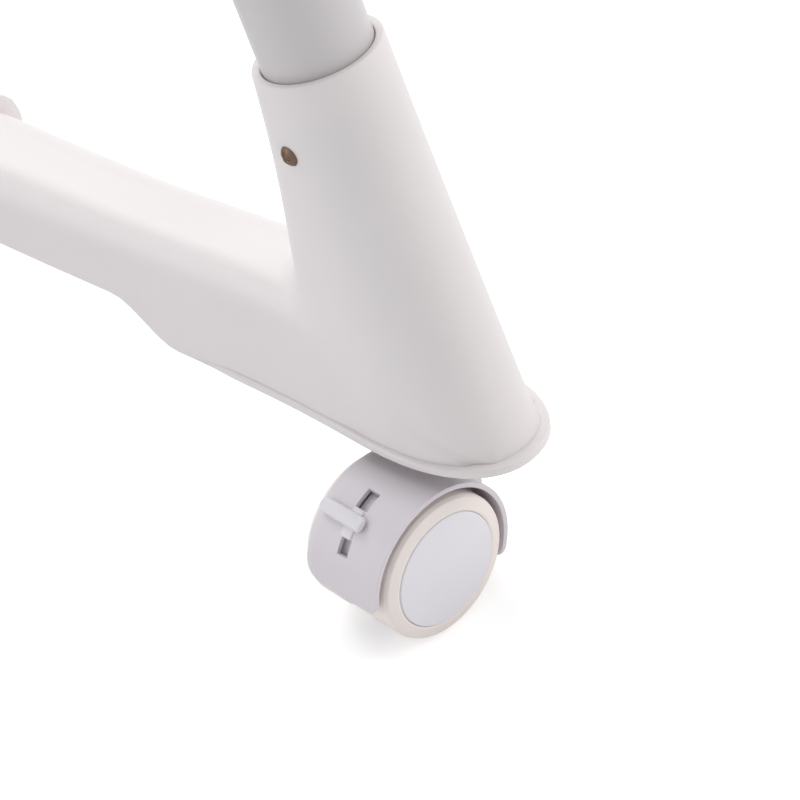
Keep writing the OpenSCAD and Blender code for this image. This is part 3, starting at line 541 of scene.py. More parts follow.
# %% Outlines and profiles
AXIS = 0.01  # the radius at which a solid profile starts: a ring so small looks like a point
def rounded(corners, radius, steps=5, closed=True):
    """Rounds the corners of an outline: each corner becomes an arc that touches both of its sides. The
    touching points lie r / tan(half the corner's angle) away, and the arc's middle r / sin of it."""
    corners = np.asarray(corners, float)
    radii = np.broadcast_to(np.asarray(radius, float), len(corners))
    out = []
    for i, (corner, r) in enumerate(zip(corners, radii)):
        if r <= 0 or (not closed and i in (0, len(corners) - 1)):
            out.append(corner[None])
            continue
        before, after = corners[i - 1] - corner, corners[(i + 1) % len(corners)] - corner
        length_before, length_after = np.linalg.norm(before), np.linalg.norm(after)
        before, after = before / length_before, after / length_after
        half = math.acos(np.clip(before @ after, -1, 1)) / 2
        cut = min(r / math.tan(half), 0.49 * length_before, 0.49 * length_after)
        r = cut * math.tan(half)
        middle = corner + (before + after) / np.linalg.norm(before + after) * r / math.sin(half)
        start, end = corner + before * cut - middle, corner + after * cut - middle
        sweep = math.acos(np.clip(start @ end / r ** 2, -1, 1))
        t = np.linspace(0, 1, steps + 1)[:, None]
        # an arc between two spokes: each spoke weighs with the sine of its share of the angle
        out.append(middle + (start * np.sin((1 - t) * sweep) + end * np.sin(t * sweep)) / math.sin(sweep))
    return np.concatenate(out)


def turned(profile, count=96):
    """A profile of (radius, height) turned round the z axis: x = r cos a, y = r sin a, z = h."""
    angle = np.linspace(0, 2 * np.pi, count, endpoint=False)[None, :]
    r, h = np.asarray(profile, float)[:, :1], np.asarray(profile, float)[:, 1:2]
    return np.stack([r * np.cos(angle), r * np.sin(angle), h + 0 * angle], axis=-1)


def arc(radius, start, end, count):
    """Points of a circle about the origin, from one angle to another in degrees."""
    angle = np.radians(np.linspace(start, end, count))
    return radius * np.c_[np.cos(angle), np.sin(angle)]


def wall_profile(inner, outer, low, high, edges=0.0, steps=3):
    """Profile of a round wall between two radii. The edges' radii run from the inner low one outwards."""
    return rounded([[inner, low], [outer, low], [outer, high], [inner, high]], edges, steps=steps)


def offset_loop(loop, by):
    """Moves a closed outline inwards by `by`: each point goes along the mean of its two sides' normals."""
    side = np.roll(loop, -1, axis=0) - loop
    side /= np.maximum(np.linalg.norm(side, axis=1, keepdims=True), 1e-9)
    normal = np.stack([-side[:, 1], side[:, 0]], axis=1)
    area = np.sum(loop[:, 0] * np.roll(loop[:, 1], -1) - loop[:, 1] * np.roll(loop[:, 0], -1))
    both = normal + np.roll(normal, 1, axis=0)
    both /= np.maximum(np.sum(both * normal, axis=1, keepdims=True), 0.3)
    return loop + both * by * np.sign(area)


def slab(skin, loop, low, high, edge=0.6, place=None, paint=0, steps=3):
    """An outline with thickness. Its edges are quarter rounds: inset e (1 - sin a), height e (1 - cos a)."""
    turn = np.linspace(0, np.pi / 2, steps + 1)
    inset, rise = edge * (1 - np.sin(turn)), edge * (1 - np.cos(turn))
    heights = np.concatenate([low + rise, high - rise[::-1]])
    rows = np.array([np.c_[offset_loop(loop, i), np.full(len(loop), z)]
                     for i, z in zip([*inset, *inset[::-1]], heights)])
    rows = place(rows) if place else rows
    skin.grid(rows, wrap_cols=True, paint=paint)
    skin.cap(rows[0], paint)
    skin.cap(rows[-1], paint)
    return skin


def turned_piece(skin, profile, place, count=96, paint=0):
    """A closed profile turned round a place's z axis."""
    return skin.grid(place.out(turned(profile, count)), wrap_rows=True, wrap_cols=True, paint=paint)


# %% [markdown]
# ## The rear foot
# This is the piece that gives the machine its character: one hollow moulding that is a caster's foot at
# the bottom, a leg's limb towards the hub, and a tall leaning socket for the mast at the top. The three
# run into each other without a seam. Modelling it by pushing points about would leave lumps. Instead the
# solid is written as one function that is negative inside, `foot_body`. It is the tower and the limb,
# joined by a smooth minimum that leaves a fillet where they meet.
#
# The tower turns level sections into leaning ones: section planes fan out about a far hinge line, and
# in each plane the outline is a mix of the foot's superellipse and the socket's circle.

# %% Foot: its function
FOOT_Z = 60.0
MAST_AT = joint_point("hood_tilt")  # the tilt pin crosses the mast's axis
SOCKET_R, SOCKET_LEN, BORE_R = 21.05, 139.7, 18.15
FOOT_HALF, TOE_MID, TOE_LEN, TOE_POWER = 25.0, -2.6, 38.5, 2.2
LIMB_HALF, WAIST, LIMB_TOP, LIMB_ROUND, NECK_HALF = 19.7, 34.0, 100.0, 13.0, 18.1
STEP_AT, STEP_LEN, NECK_Z = 96.4, 26.0, 73.0
LIP_SHOWS, DRAFT = 0.9, 0.04  # the lip stands out this far from the limb, and walls lean in by this share
SIDE_INSET, TOE_INSET, BACK_REACH, BACK_POWER = 1.9, 4.6, 48.0, 2.04
FILLET, FILLET_LOW = 7.0, 0.28  # the fillet's width at the top of the limb, and its share at the bottom
LEG_WALL = 3.0
RAY = 75.0  # rays need be no longer than this

# the mast's axis in the foot's frame: where it crosses the foot's lower edge, and its direction
mast_foot = MAST_AT + mast_axis * (FOOT_Z - MAST_AT[2]) / mast_axis[2] - stems["rear"]
RIM_Y, RIM_Z = mast_foot[1] - SOCKET_LEN * math.sin(lean), FOOT_Z + SOCKET_LEN * math.cos(lean)
HINGE_Y = RIM_Y - (RIM_Z - FOOT_Z) / math.tan(lean)
print("the mast crosses the foot's edge", round(mast_foot[1], 2), "mm behind the stem")


def smoothstep(t):
    """3 t^2 - 2 t^3 between 0 and 1: an S that starts and ends level."""
    t = np.clip(t, 0, 1)
    return t * t * (3 - 2 * t)


def half_width(y):
    """Half the foot's width: it narrows from the foot to the limb like 1 / (1 + d^2)."""
    return LIMB_HALF + (FOOT_HALF - LIMB_HALF) / (1 + ((TOE_MID - y) / WAIST) ** 2)


def edge_z(y):
    """Height of the leg's lower edge: level under the foot, then an S up to the neck."""
    return FOOT_Z + (NECK_Z - FOOT_Z) * smoothstep((-STEP_AT - y) / STEP_LEN)


def superellipse(side, c, half, reach, power):
    """Radius of a superellipse in a direction with the parts `side` and `c`."""
    return ((side / half) ** power + (np.abs(c) / reach) ** power) ** (-1 / power)


def tower(x, y, z):
    """Distance outside the tower. b is the section plane's angle about the hinge, and mix runs from 0 at
    the level foot to 1 at the leaning rim."""
    rise, run = z - FOOT_Z, y - HINGE_Y
    level, top = TOE_MID - HINGE_Y, math.hypot(RIM_Y - HINGE_Y, RIM_Z - FOOT_Z)
    b = np.clip(np.arctan2(rise, run), -0.05, lean + 0.05)
    near, far = level * np.sin(b), top * np.sin(lean - b)
    mix = near / (near + far)
    v = np.hypot(rise, run) - level * top * math.sin(lean) / (near + far)
    r = np.hypot(x, v) + 1e-9
    c, s = v / r, np.abs(x) / r
    half = FOOT_HALF - SIDE_INSET
    flare = 2.4 * np.exp(-np.maximum(rise - 3, 0) / 3.0)  # the toe's wall runs out towards the lip
    toe = superellipse(s, c, half, TOE_LEN - TOE_INSET + flare, TOE_POWER)
    back = superellipse(s, c, half, BACK_REACH, BACK_POWER)
    base = np.where(v > 0, toe, back)
    return r - ((1 - mix) * base + mix * SOCKET_R)


def limb(x, y, z):
    """Distance outside the limb: a rounded rectangle with no floor, and its top rises towards the tower."""
    w = half_width(np.minimum(y, -30)) - LIP_SHOWS - DRAFT * (z - FOOT_Z)
    w = w + (NECK_HALF - w) * smoothstep((-145 - y) / 45)
    top = LIMB_TOP + 3 * smoothstep((y + 130) / 70)
    qx, qz = np.abs(x) - (w - LIMB_ROUND), z - (top - LIMB_ROUND)
    return np.hypot(np.maximum(qx, 0), np.maximum(qz, 0)) + np.minimum(np.maximum(qx, qz), 0) - LIMB_ROUND


def smooth_min(a, b, k):
    """The smaller of two distances, with a rounded join k wide: they differ by less than k inside it."""
    h = np.maximum(k - np.abs(a - b), 0) / k
    return np.minimum(a, b) - h * h * k / 4


def foot_body(x, y, z):
    """Negative inside the tower or the limb, which ends at an upright plane under the socket."""
    soft = FILLET * (FILLET_LOW + (1 - FILLET_LOW) * smoothstep((z - LIMB_TOP + 16) / 14))
    return smooth_min(tower(x, y, z), np.maximum(limb(x, y, z), (y + 8) * 0.9), soft)


# %% [markdown]
# The surface is then found by shooting rays. Every row of the grid lies in one plane: upright planes
# along the limb, planes that fan out round the crotch, and planes square to the mast up the tower. In
# each plane rays leave the section's middle, and halving the interval again and again finds where the
# function changes its sign. It works on all rays of all rows together.


# %% Foot: its surface
def halve(inside, low, high, rounds=30):
    """Halves the interval between low, which is inside, and high, which isn't. Arrays, all at once."""
    for _ in range(rounds):
        middle = (low + high) / 2
        yes = inside(middle)
        low, high = np.where(yes, middle, low), np.where(yes, high, middle)
    return (low + high) / 2


def foot_rows(pivot=(-60.0, 112.0), ends=-243.7, limb_rows=46, fan_rows=54, mast_rows=26, columns=61):
    """Rows of points round the foot from the limb's end up to the socket's rim, from the left lower edge
    over the top to the right one: (rows, 2 * columns - 1, 3). The pivot is a line across the crotch, and
    the fan's planes hinge on it."""
    along = pivot[0] + (ends - pivot[0]) * np.linspace(1, 0, limb_rows)[:-1] ** 1.4
    # one plane of the fan goes exactly through the tip of the toe
    tip = halve(lambda y: foot_body(0.0, y, FOOT_Z) < 0, np.array(0.0), np.array(60.0))
    tip_turn = math.atan2(tip - pivot[0], pivot[1] - FOOT_Z)
    part = round(fan_rows * tip_turn / (math.pi / 2 + lean))
    turn = np.concatenate([np.linspace(0, tip_turn, part),
                           np.linspace(tip_turn, math.pi / 2 + lean, fan_rows - part + 1)[1:]])
    way_up = np.array([-math.sin(lean), math.cos(lean)])
    start = (np.array(pivot) - [mast_foot[1], FOOT_Z]) @ way_up
    climb = np.linspace(start, SOCKET_LEN - 1.0, mast_rows)[1:] - start
    base = np.concatenate([np.c_[along, np.full(len(along), pivot[1])], np.tile(pivot, (fan_rows, 1)),
                           np.array(pivot) + climb[:, None] * way_up])
    angle = np.concatenate([np.zeros(len(along)), turn, np.full(len(climb), turn[-1])])
    way = np.c_[np.sin(angle), -np.cos(angle)]  # from the pivot's side of the section to its far side

    def point(t):
        return base + way * t[:, None]

    def solid(p, x=0.0):
        return foot_body(x, p[..., 0], p[..., 1]) < 0

    # the section on the middle plane: first surface, then the far side or the open lower edge
    steps = np.linspace(0, 190, 400)
    trial = base[:, None] + way[:, None] * steps[None, :, None]
    inside = solid(trial)
    first = steps[np.argmax(inside, axis=1)]
    near = halve(lambda t: ~solid(point(t)), first - steps[1], first)
    gone = inside & (trial[..., 1] > edge_z(trial[..., 0]))
    last = steps[len(steps) - 1 - np.argmax(gone[:, ::-1], axis=1)]
    middle = point((near + last) / 2)

    def surface(turned_by):
        """Points where rays at these angles from the near side leave the body: (rows, n, 3)."""
        side, back = np.sin(turned_by), -np.cos(turned_by)
        ray = way[:, None] * back[..., None]

        def at(t):
            return side * t, middle[:, None, 0] + ray[..., 0] * t, middle[:, None, 1] + ray[..., 1] * t

        t = halve(lambda t: foot_body(*at(t)) < 0, np.zeros_like(side), np.full_like(side, RAY), 32)
        return np.stack(at(t), axis=-1)

    def above_edge(angle):
        p = surface(angle[:, None])[:, 0]
        return p[:, 2] > edge_z(p[:, 1])

    whole = angle > tip_turn - 1e-6
    end = halve(above_edge, np.full(len(base), 0.8), np.full(len(base), math.pi - 1e-4))
    end = np.where(whole, math.pi, end)
    fine = surface(end[:, None] * np.linspace(0, 1, 6 * columns)[None])
    # even out the columns: equal shares of each row's length
    length = np.cumsum(np.linalg.norm(np.diff(fine, axis=1), axis=2), axis=1)
    share = np.concatenate([np.zeros((len(base), 1)), length], axis=1) / length[:, -1:]
    even = [np.interp(np.linspace(0, 1, columns), s, end[i] * np.linspace(0, 1, 6 * columns))
            for i, s in enumerate(share)]
    right = surface(np.array(even))
    right[:, -1, 2] = np.where(whole, right[:, -1, 2], edge_z(right[:, -1, 1]))
    right[whole, -1, 0] = 0.0
    right[:, 0, 0] = 0.0
    left = right[:, :0:-1] * [-1, 1, 1]
    return np.concatenate([left, right], axis=1), whole


def slope(function, points, step=0.05):
    """Unit normals of a solid's surface: the way in which its function grows fastest."""
    x, y, z = points[..., 0], points[..., 1], points[..., 2]
    grow = np.stack([function(x + step, y, z) - function(x - step, y, z),
                     function(x, y + step, z) - function(x, y - step, z),
                     function(x, y, z + step) - function(x, y, z - step)], axis=-1)
    return grow / np.maximum(np.linalg.norm(grow, axis=-1, keepdims=True), 1e-9)


foot_grid, foot_whole = foot_rows()
print("foot grid:", foot_grid.shape[:2], "rows closed at the toe:", int(foot_whole.sum()))


# %% [markdown]
# The moulding is three millimetres thick, so the inside is the same grid moved along its normals. The
# rim at the top is a half round between the outside and the bore, and the open lower edge is a flat
# strip. Together they make one closed shell. A tube for the mast, a boss for the caster's stem and two
# ribs stand inside, as on most mouldings of this kind. The lip round the open edge is an outline swept
# along the foot: it keeps the moulding stiff, and its upper edge catches the light as a thin bright line.

# %% Foot: shell, lip and inner parts
# a place on the mast's axis in the foot's own frame, z up the mast
socket_place = Place(mast_foot, z=(0, -math.sin(lean), math.cos(lean)))


def foot_shell(skin, place):
    """The outer skin, the rim, the bore and the inner skin in one closed grid, and the open edge's strips."""
    rows = foot_grid
    inner = rows - slope(foot_body, rows) * LEG_WALL
    inner[:, -1, 2] = np.where(foot_whole, inner[:, -1, 2], rows[:, -1, 2])
    inner[:, 0, 2] = np.where(foot_whole, inner[:, 0, 2], rows[:, 0, 2])
    # the rim goes on from the last row: round its outer and inner edge, then down the bore
    profile = rounded([[SOCKET_R, SOCKET_LEN - 1.0], [SOCKET_R, SOCKET_LEN], [BORE_R, SOCKET_LEN],
                       [BORE_R, SOCKET_LEN - 12]], 0.75, steps=4, closed=False)[1:]
    columns = rows.shape[1]
    angle = np.linspace(-np.pi, np.pi, columns)
    ring = np.stack([profile[:, :1] * np.sin(angle), -profile[:, :1] * np.cos(angle),
                     profile[:, 1:2] + 0 * angle], axis=-1)
    # the bore takes the place of the inner skin's last four rows
    shell = np.concatenate([rows, socket_place.out(ring), inner[-5::-1]])
    skin.grid(place.out(shell), wrap_rows=True)
    last = np.argmax(foot_whole)  # the first row that closes at the toe
    for side in (0, -1):
        skin.grid(place.out(np.stack([rows[:last + 1, side], inner[:last + 1, side]], axis=1)))


def lip_path(y_end, steps=34, toe_steps=56):
    """The foot's outline from the left end round the toe to the right end."""
    y = TOE_MID + (y_end - TOE_MID) * np.linspace(1, 0, steps + 1)[:-1]
    side = np.c_[-half_width(y), y]
    a = np.linspace(np.pi, 0, toe_steps + 1)
    c, s = np.cos(a), np.maximum(np.sin(a), 0)
    toe = np.c_[np.sign(c) * np.abs(c) ** (2 / TOE_POWER) * FOOT_HALF,
                TOE_MID + s ** (2 / TOE_POWER) * TOE_LEN]
    return np.concatenate([side, toe, side[::-1] * [-1, 1]])


def foot_lip(skin, place, depth=4.6, height=3.0, sink=1.7, fade_length=34.0):
    """A rounded bar swept along the outline. It sinks into the wall where the edge steps up."""
    end = -STEP_AT - 4
    path = lip_path(end)
    tangent = np.gradient(path, axis=0)
    tangent /= np.linalg.norm(tangent, axis=1, keepdims=True)
    inward = np.c_[tangent[:, 1], -tangent[:, 0]]
    section = rounded([[0, 0], [depth, 0], [depth, height], [0, height]], [0.5, 0.2, 0.2, 0.9], steps=4)
    fade = smoothstep((path[:, 1] - end) / fade_length)[:, None]
    across = section[None, :, 0] + sink * (1 - fade)
    tall = section[None, :, 1] * (0.35 + 0.65 * fade)
    points = path[:, None] + inward[:, None] * across[..., None]
    up = edge_z(path[:, 1])[:, None] + tall
    rows = place.out(np.concatenate([points, up[..., None]], axis=-1))
    skin.grid(rows, wrap_cols=True)
    skin.cap(rows[0])
    skin.cap(rows[-1])


def stem_boss(skin, place, outer=9.5, bore=5.55, lid=4.0):
    """A round boss with a blind bore for the caster's stem."""
    low, high = FOOT_Z - 4, FOOT_Z + 26
    ring = rounded([[outer, low], [outer, high], [AXIS, high], [AXIS, high - lid], [bore, high - lid],
                    [bore, low]], [0.6, 0.3, 0, 0, 0.2, 0.4], steps=3)
    turned_piece(skin, ring, place, 48)


def neck_boss(skin, place, behind):
    """A tube inside the limb's neck that takes the screw from the hub."""
    turned_piece(skin, wall_profile(2.5, 5.5, NECK_Z, LIMB_TOP - 1, 0.3, 2), place.shifted(y=-behind), 32)


def rib(skin, place, a, b, height, thick=2.4):
    """An upright plate between two points of the plan, just above the foot's lower edge."""
    a, b = np.array(a, float), np.array(b, float)
    along = (b - a) / np.linalg.norm(b - a)
    side = np.array([-along[1], along[0]]) * thick / 2
    loop = np.array([a + side, b + side, b - side, a - side])
    slab(skin, loop, FOOT_Z + 2, FOOT_Z + 2 + height, 0.3, place.out)


def make_rear_foot():
    """The shell, its lip, a sleeve that holds the tube, the stem's boss with four ribs, the neck's boss."""
    place = leg_places["rear"]
    skin = Skin()
    foot_shell(skin, place)
    foot_lip(skin, place)
    sleeve = wall_profile(BORE_R, SOCKET_R - 0.5, 26, SOCKET_LEN - 14, 0.3, 2)
    skin.grid(place.out(socket_place.out(turned(sleeve, 96))), wrap_rows=True, wrap_cols=True)
    stem_boss(skin, place)
    for a, b, height in (((0, -60), (0, -9), 15), ((0, 9), (0, 24.5), 13), ((-21, 0), (-9, 0), 15),
                         ((9, 0), (21, 0), 15)):
        rib(skin, place, a, b, height)
    neck_boss(skin, place, 219.5)
    skin.make("rear_foot_moulding", "foot_plastic", "root", "foot_plastic", ["rear_foot"])


make_rear_foot()


# %% [markdown]
# ## The casters
# A twin-wheel caster is a curved hood over two wheels, with a lever that locks them. The hood is a thin
# arc with two slots, one on each side of the brake pedal. It could be cut with booleans, but a grid
# whose lines run along the slots' edges needs none: the quads inside the slots are left out, and
# Solidify gives what remains its wall, slot edges included. A narrow Bevel softens all of it.

# %% Casters: sizes and frames
WHEEL_R, DISC_R, FACE = 25.0, 19.9, 19.6  # FACE is a disc's outside along the axle
HOOD_IN, HOOD_WALL, HOOD_LEAD = 27.3, 1.7, 213.0
HOOD_NEAR, HOOD_FAR = 17.4, -15.2  # ends of the hood along the axle
CORNER_FROM = 150.0  # degrees round the axle from which the leading corners count
HOOD_R = HOOD_IN + HOOD_WALL
WEB_HALF, BRAKE_GAP, AXLE_R, TRAIL = 4.2, 2.7, 3.0, 25.8  # the web is 1.5 thick on either side of the gap


def caster_place(name):
    """A place on the axle: x along the trail, y up, z along the axle towards the near wheel."""
    axle = joint_point(f"{name}_near_wheel_spin")
    trail = (axle - joint_point(f"{name}_caster_swivel")) * [1, 1, 0]
    place = Place(axle * [1, 1, 0] + [0, 0, WHEEL_R])
    trail = trail / np.linalg.norm(trail)
    place.axes = np.array([trail, UP, [-trail[1], trail[0], 0.0]])
    return place


def round_axle(angle, radius, axial):
    """Polar to local: angle in degrees from the trail upwards, radius, and place along the axle."""
    a = np.radians(angle)
    return np.stack(np.broadcast_arrays(radius * np.cos(a), radius * np.sin(a), axial), axis=-1)


def give_wall(piece, thickness, bevel=0.35, offset=-1.0):
    """Solidify and Bevel finish a thin moulding: a wall, and edges that catch light."""
    wall = piece.modifiers.new("wall", "SOLIDIFY")
    wall.thickness, wall.offset, wall.use_even_offset = thickness * MM, offset, True
    edge = piece.modifiers.new("edge", "BEVEL")
    edge.width, edge.segments = bevel * MM, 2
    edge.limit_method, edge.angle_limit = "ANGLE", math.radians(50)


# %% Caster hood
# each slot from one turn to another, in degrees round the axle, and from one side to the other along it
SLOTS = (((29, 41), (-1.4, 3.0)), ((61, 75), (-2.3, 2.8)))


def between(stops, counts):
    """A list of values that hits every stop, with a count of steps between each pair."""
    parts = [np.linspace(a, b, n, endpoint=False) for a, b, n in zip(stops[:-1], stops[1:], counts)]
    return np.concatenate([*parts, [stops[-1]]])


def corner_cut(across, radius_near, radius_far):
    """How far a rounded corner has come in at a distance across: r - sqrt(r^2 - (r - d)^2)."""
    near = np.clip(radius_near - (HOOD_NEAR - across), 0, None)
    far = np.clip(radius_far - (across - HOOD_FAR), 0, None)
    cut_near = radius_near - np.sqrt(np.maximum(radius_near ** 2 - near ** 2, 0))
    cut_far = radius_far - np.sqrt(np.maximum(radius_far ** 2 - far ** 2, 0))
    return cut_near + cut_far


def make_caster_hood(name):
    place = caster_place(name)
    (low_slot, low_sides), (high_slot, high_sides) = SLOTS
    # columns across the hood: dense at the ends, and one on each slot's edge
    ease = 1 - np.cos(np.linspace(0, np.pi / 2, 11))
    across = np.unique(np.concatenate([
        HOOD_FAR + ease * (-3.2 - HOOD_FAR), HOOD_NEAR + ease * (3.2 - HOOD_NEAR), np.linspace(-3, 3, 5),
        low_sides, high_sides]).round(4))
    turn = between([0, *low_slot, *high_slot, HOOD_LEAD], [16, 6, 8, 7, 44])
    per_mm = 180 / np.pi / HOOD_R
    corner_low = corner_cut(across, 4.0, 9.0) * per_mm
    corner_high = corner_cut(across, 5.0, 5.0) * per_mm
    shoulder = HOOD_R - 0.4 * corner_cut(across, 0.0, 4.5)
    share_low = np.clip(1 - turn / low_slot[0], 0, 1)[:, None] ** 1.5
    share_high = np.clip((turn - CORNER_FROM) / (HOOD_LEAD - CORNER_FROM), 0, 1)[:, None] ** 1.5
    angle = turn[:, None] + share_low * corner_low - share_high * corner_high
    middle_turn, middle_across = (turn[1:] + turn[:-1]) / 2, (across[1:] + across[:-1]) / 2
    keep = np.ones((len(middle_turn), len(middle_across)), bool)
    for (first, last), (left, right) in SLOTS:
        keep &= ~(((middle_turn > first) & (middle_turn < last))[:, None]
                  & ((middle_across > left) & (middle_across < right))[None])
    skin = Skin().grid(place.out(round_axle(angle, shoulder, across)), keep=keep)
    hood = skin.make(f"{name}_caster_fender", "caster_plastic", f"{name}_caster", "caster_plastic",
                     [f"{name}_caster_hood"])
    face_outwards(hood, place)
    give_wall(hood, HOOD_WALL, 0.45)


def make_caster_web(name):
    """The web between the wheels carries the axle, the stem's boss and the hood itself."""
    place = caster_place(name)
    skin = Skin()
    web = rounded([[2, -7], [7, -5], [7.5, 4], [4, 12], [4, HOOD_IN + 1], [-13, HOOD_IN - 2.6],
                   [-TRAIL + 2, 12], [-TRAIL, -8], [-8, -8]], [3, 3, 3, 6, 1, 1, 4, 4, 4], steps=4)
    for low, high in ((-WEB_HALF, -BRAKE_GAP), (BRAKE_GAP, WEB_HALF)):
        slab(skin, web, low, high, 0.4, place.out)
    back = rounded([[-6, -7], [-3.6, -7], [-3.6, HOOD_IN - 1], [-12, HOOD_IN - 3], [-TRAIL + 2, 12],
                    [-TRAIL, -8]], [1, 1, 0, 0, 3, 3], steps=3)
    slab(skin, back, -BRAKE_GAP - 0.3, BRAKE_GAP + 0.3, 0.2, place.out)
    boss = turned(wall_profile(4.1, 7.4, 17, 48, [0.3, 0.6, 0.8, 0.3]), 48)
    boss[..., 1] = np.clip(boss[..., 1], -WEB_HALF - 1, WEB_HALF + 1)
    stem = Place(place.out([-TRAIL, -WHEEL_R, 0]))
    stem.axes = np.array([place.axes[0], place.axes[2], UP])
    skin.grid(stem.out(boss), wrap_rows=True, wrap_cols=True)
    skin.make(f"{name}_caster_web", "caster_plastic", f"{name}_caster", "caster_plastic")


def face_outwards(piece, place):
    """An open sheet has no inside, so its faces are turned to look away from the axle."""
    mesh = piece.data
    centres = np.array([face.center for face in mesh.polygons])
    normals = np.array([face.normal for face in mesh.polygons])
    away = centres - place.origin * MM
    away -= np.outer(away @ place.axes[2], place.axes[2])
    if np.sum(away * normals) < 0:
        mesh.flip_normals()


# %% [markdown]
# The tyre has a chamfer on each side, so its tread looks narrower than it is, and the disc stands a
# little proud of it. That step is what separates the two for the eye, more than their colours do.


# %% Wheels, tyres, brake, stem and axle
def make_wheel(name, side):
    """A disc with a hub and spokes inside, and the tyre round it. Side 1 is near and -1 is far."""
    label = "near" if side > 0 else "far"
    place = caster_place(name)
    place.axes[2] = place.axes[2] * side
    body = f"{name}_{label}_wheel"
    disc = rounded([[AXIS, FACE], [DISC_R, FACE], [DISC_R, FACE - 1.1], [DISC_R + 0.5, FACE - 1.6],
                    [DISC_R + 0.5, WEB_HALF + 2], [DISC_R - 2, WEB_HALF + 2], [DISC_R - 2, FACE - 2.6],
                    [AXLE_R + 4, FACE - 2.6], [AXLE_R + 4, WEB_HALF + 0.4], [AXLE_R + 0.05, WEB_HALF + 0.4],
                    [AXLE_R + 0.05, FACE - 3.3], [AXIS, FACE - 3.3]],
                   [0, 0.55, 0.2, 0.2, 0.3, 0.3, 1.2, 1.2, 0.5, 0.2, 0, 0], steps=4)
    skin = turned_piece(Skin(), disc, place, 120)
    # six spokes inside, which show when the wheel is seen from between
    for turn in np.radians(np.arange(0, 360, 60)):
        way = np.array([math.cos(turn), math.sin(turn)])
        a, b = way * (AXLE_R + 3.4), way * (DISC_R - 1.4)
        normal = np.array([-way[1], way[0]]) * 0.8
        slab(skin, np.array([a + normal, b + normal, b - normal, a - normal]), WEB_HALF + 3, FACE - 2, 0.2,
             place.out)
    skin.make(f"{name}_{label}_disc", "wheel_plastic", body, "wheel_plastic",
              [f"{name}_caster_{label}_wheel"])
    tyre = rounded([[DISC_R + 0.45, WEB_HALF + 1.4], [WHEEL_R - 1.0, WEB_HALF + 1.4],
                    [WHEEL_R, WEB_HALF + 3.0], [WHEEL_R, FACE - 2.6], [WHEEL_R - 0.6, FACE - 1.2],
                    [DISC_R + 1.0, FACE - 0.35], [DISC_R + 0.15, FACE - 0.45], [DISC_R + 0.15, FACE - 1.0],
                    [DISC_R + 0.45, FACE - 1.5]],
                   [0.3, 0.8, 1.2, 1.0, 0.9, 0.5, 0.15, 0.1, 0.1], steps=5)
    turned_piece(Skin(), tyre, place, 144).make(
        f"{name}_{label}_tread", "tyre_cream", body, "tyre_cream", [f"{name}_caster_{label}_tyre"])


PEDAL, PEDAL_ENDS = (47.5, 57.5), (-13.2, 5.3)  # degrees round the axle, and ends along it
SHUTTER = (15, 83)  # degrees round the axle


def make_brake(name):
    """A flat lever round the axle that comes out through the hood, and a bar across the hood's outside."""
    place = caster_place(name)
    lever = np.concatenate([arc(HOOD_R + 0.6, 60, 41, 9), arc(6.6, 30, -215, 28)])
    skin = slab(Skin(), lever, -2.3, 2.3, 0.35, place.out)
    # a curved shutter under the hood, long enough to close both slots wherever the lever stands
    shutter = np.concatenate([arc(HOOD_IN - 1.3, *SHUTTER, 29), arc(HOOD_IN - 2.5, *SHUTTER, 29)[::-1]])
    slab(skin, shutter, -2.6, 2.6, 0.2, place.out)
    # the bar: an outline with one round end in (arc length, axial), wrapped round the hood
    half = math.radians(PEDAL[1] - PEDAL[0]) / 2 * HOOD_R
    low, high = PEDAL_ENDS
    bar = rounded([[-half, low], [half, low], [half, high], [-half, high]],
                  [half * 0.96, half * 0.96, 1.7, 1.7], steps=7)
    bar = np.concatenate([np.linspace(a, b, 6, endpoint=False) if np.linalg.norm(b - a) > 4 else a[None]
                          for a, b in zip(bar, np.roll(bar, -1, axis=0))])

    def wrap(p):
        along, axial, out = p[..., 0], p[..., 1], p[..., 2]
        crown = 0.8 * (1 - (along / half) ** 2) * (out > 1.0)
        return place.out(round_axle(sum(PEDAL) / 2 + np.degrees(along / HOOD_R), HOOD_R + out + crown, axial))

    slab(skin, bar, 0.3, 1.9, 0.75, wrap, steps=5)
    skin.make(f"{name}_brake_pedal", "brake_plastic", f"{name}_brake", "brake_plastic",
              [f"{name}_caster_brake"])


def make_stem_and_axle(name):
    """The stem is a steel pin with a collar, pressed into the boss of the leg above."""
    stem = Place(joint_point(f"{name}_caster_swivel") * [1, 1, 0])
    collar_low, collar_high, stem_low, stem_high = 50.4, 56.0, 22.0, 81.4
    profile = rounded([[AXIS, stem_low], [4, stem_low], [4, collar_low], [8.5, collar_low],
                       [8.5, collar_high], [5.5, collar_high], [5.5, stem_high], [AXIS, stem_high]],
                      [0, 0.5, 0.2, 0.6, 0.6, 0.2, 1.2, 0], steps=3)
    turned_piece(Skin(), profile, stem, 64).make(
        f"{name}_swivel_stem", "steel", f"{name}_caster", "steel", [f"{name}_caster_stem"])
    turned_piece(Skin(), wall_profile(AXIS, AXLE_R, -16, 16, [0, 0.6, 0.6, 0]), caster_place(name), 48).make(
        f"{name}_wheel_axle", "steel", f"{name}_caster", "steel", [f"{name}_caster_axle"])


for caster in CASTERS:
    make_caster_hood(caster)
    make_caster_web(caster)
    for side in (1, -1):
        make_wheel(caster, side)
    make_brake(caster)
    make_stem_and_axle(caster)

# %% [markdown]
# ## The mast
# Two plain tubes, the inner one sliding in the outer. Their looks come from having enough segments and
# a small round at each cut edge. The screws in the socket are pan heads with a cross recess, and their
# brown plating makes them the darkest spots on the stand.


# %% Tubes and small screws
def mast_place(along=0.0):
    """A place on the mast's axis, z up the mast, at a distance from the foot's lower edge."""
    return Place(mast_foot + stems["rear"] + mast_axis * along, z=mast_axis)


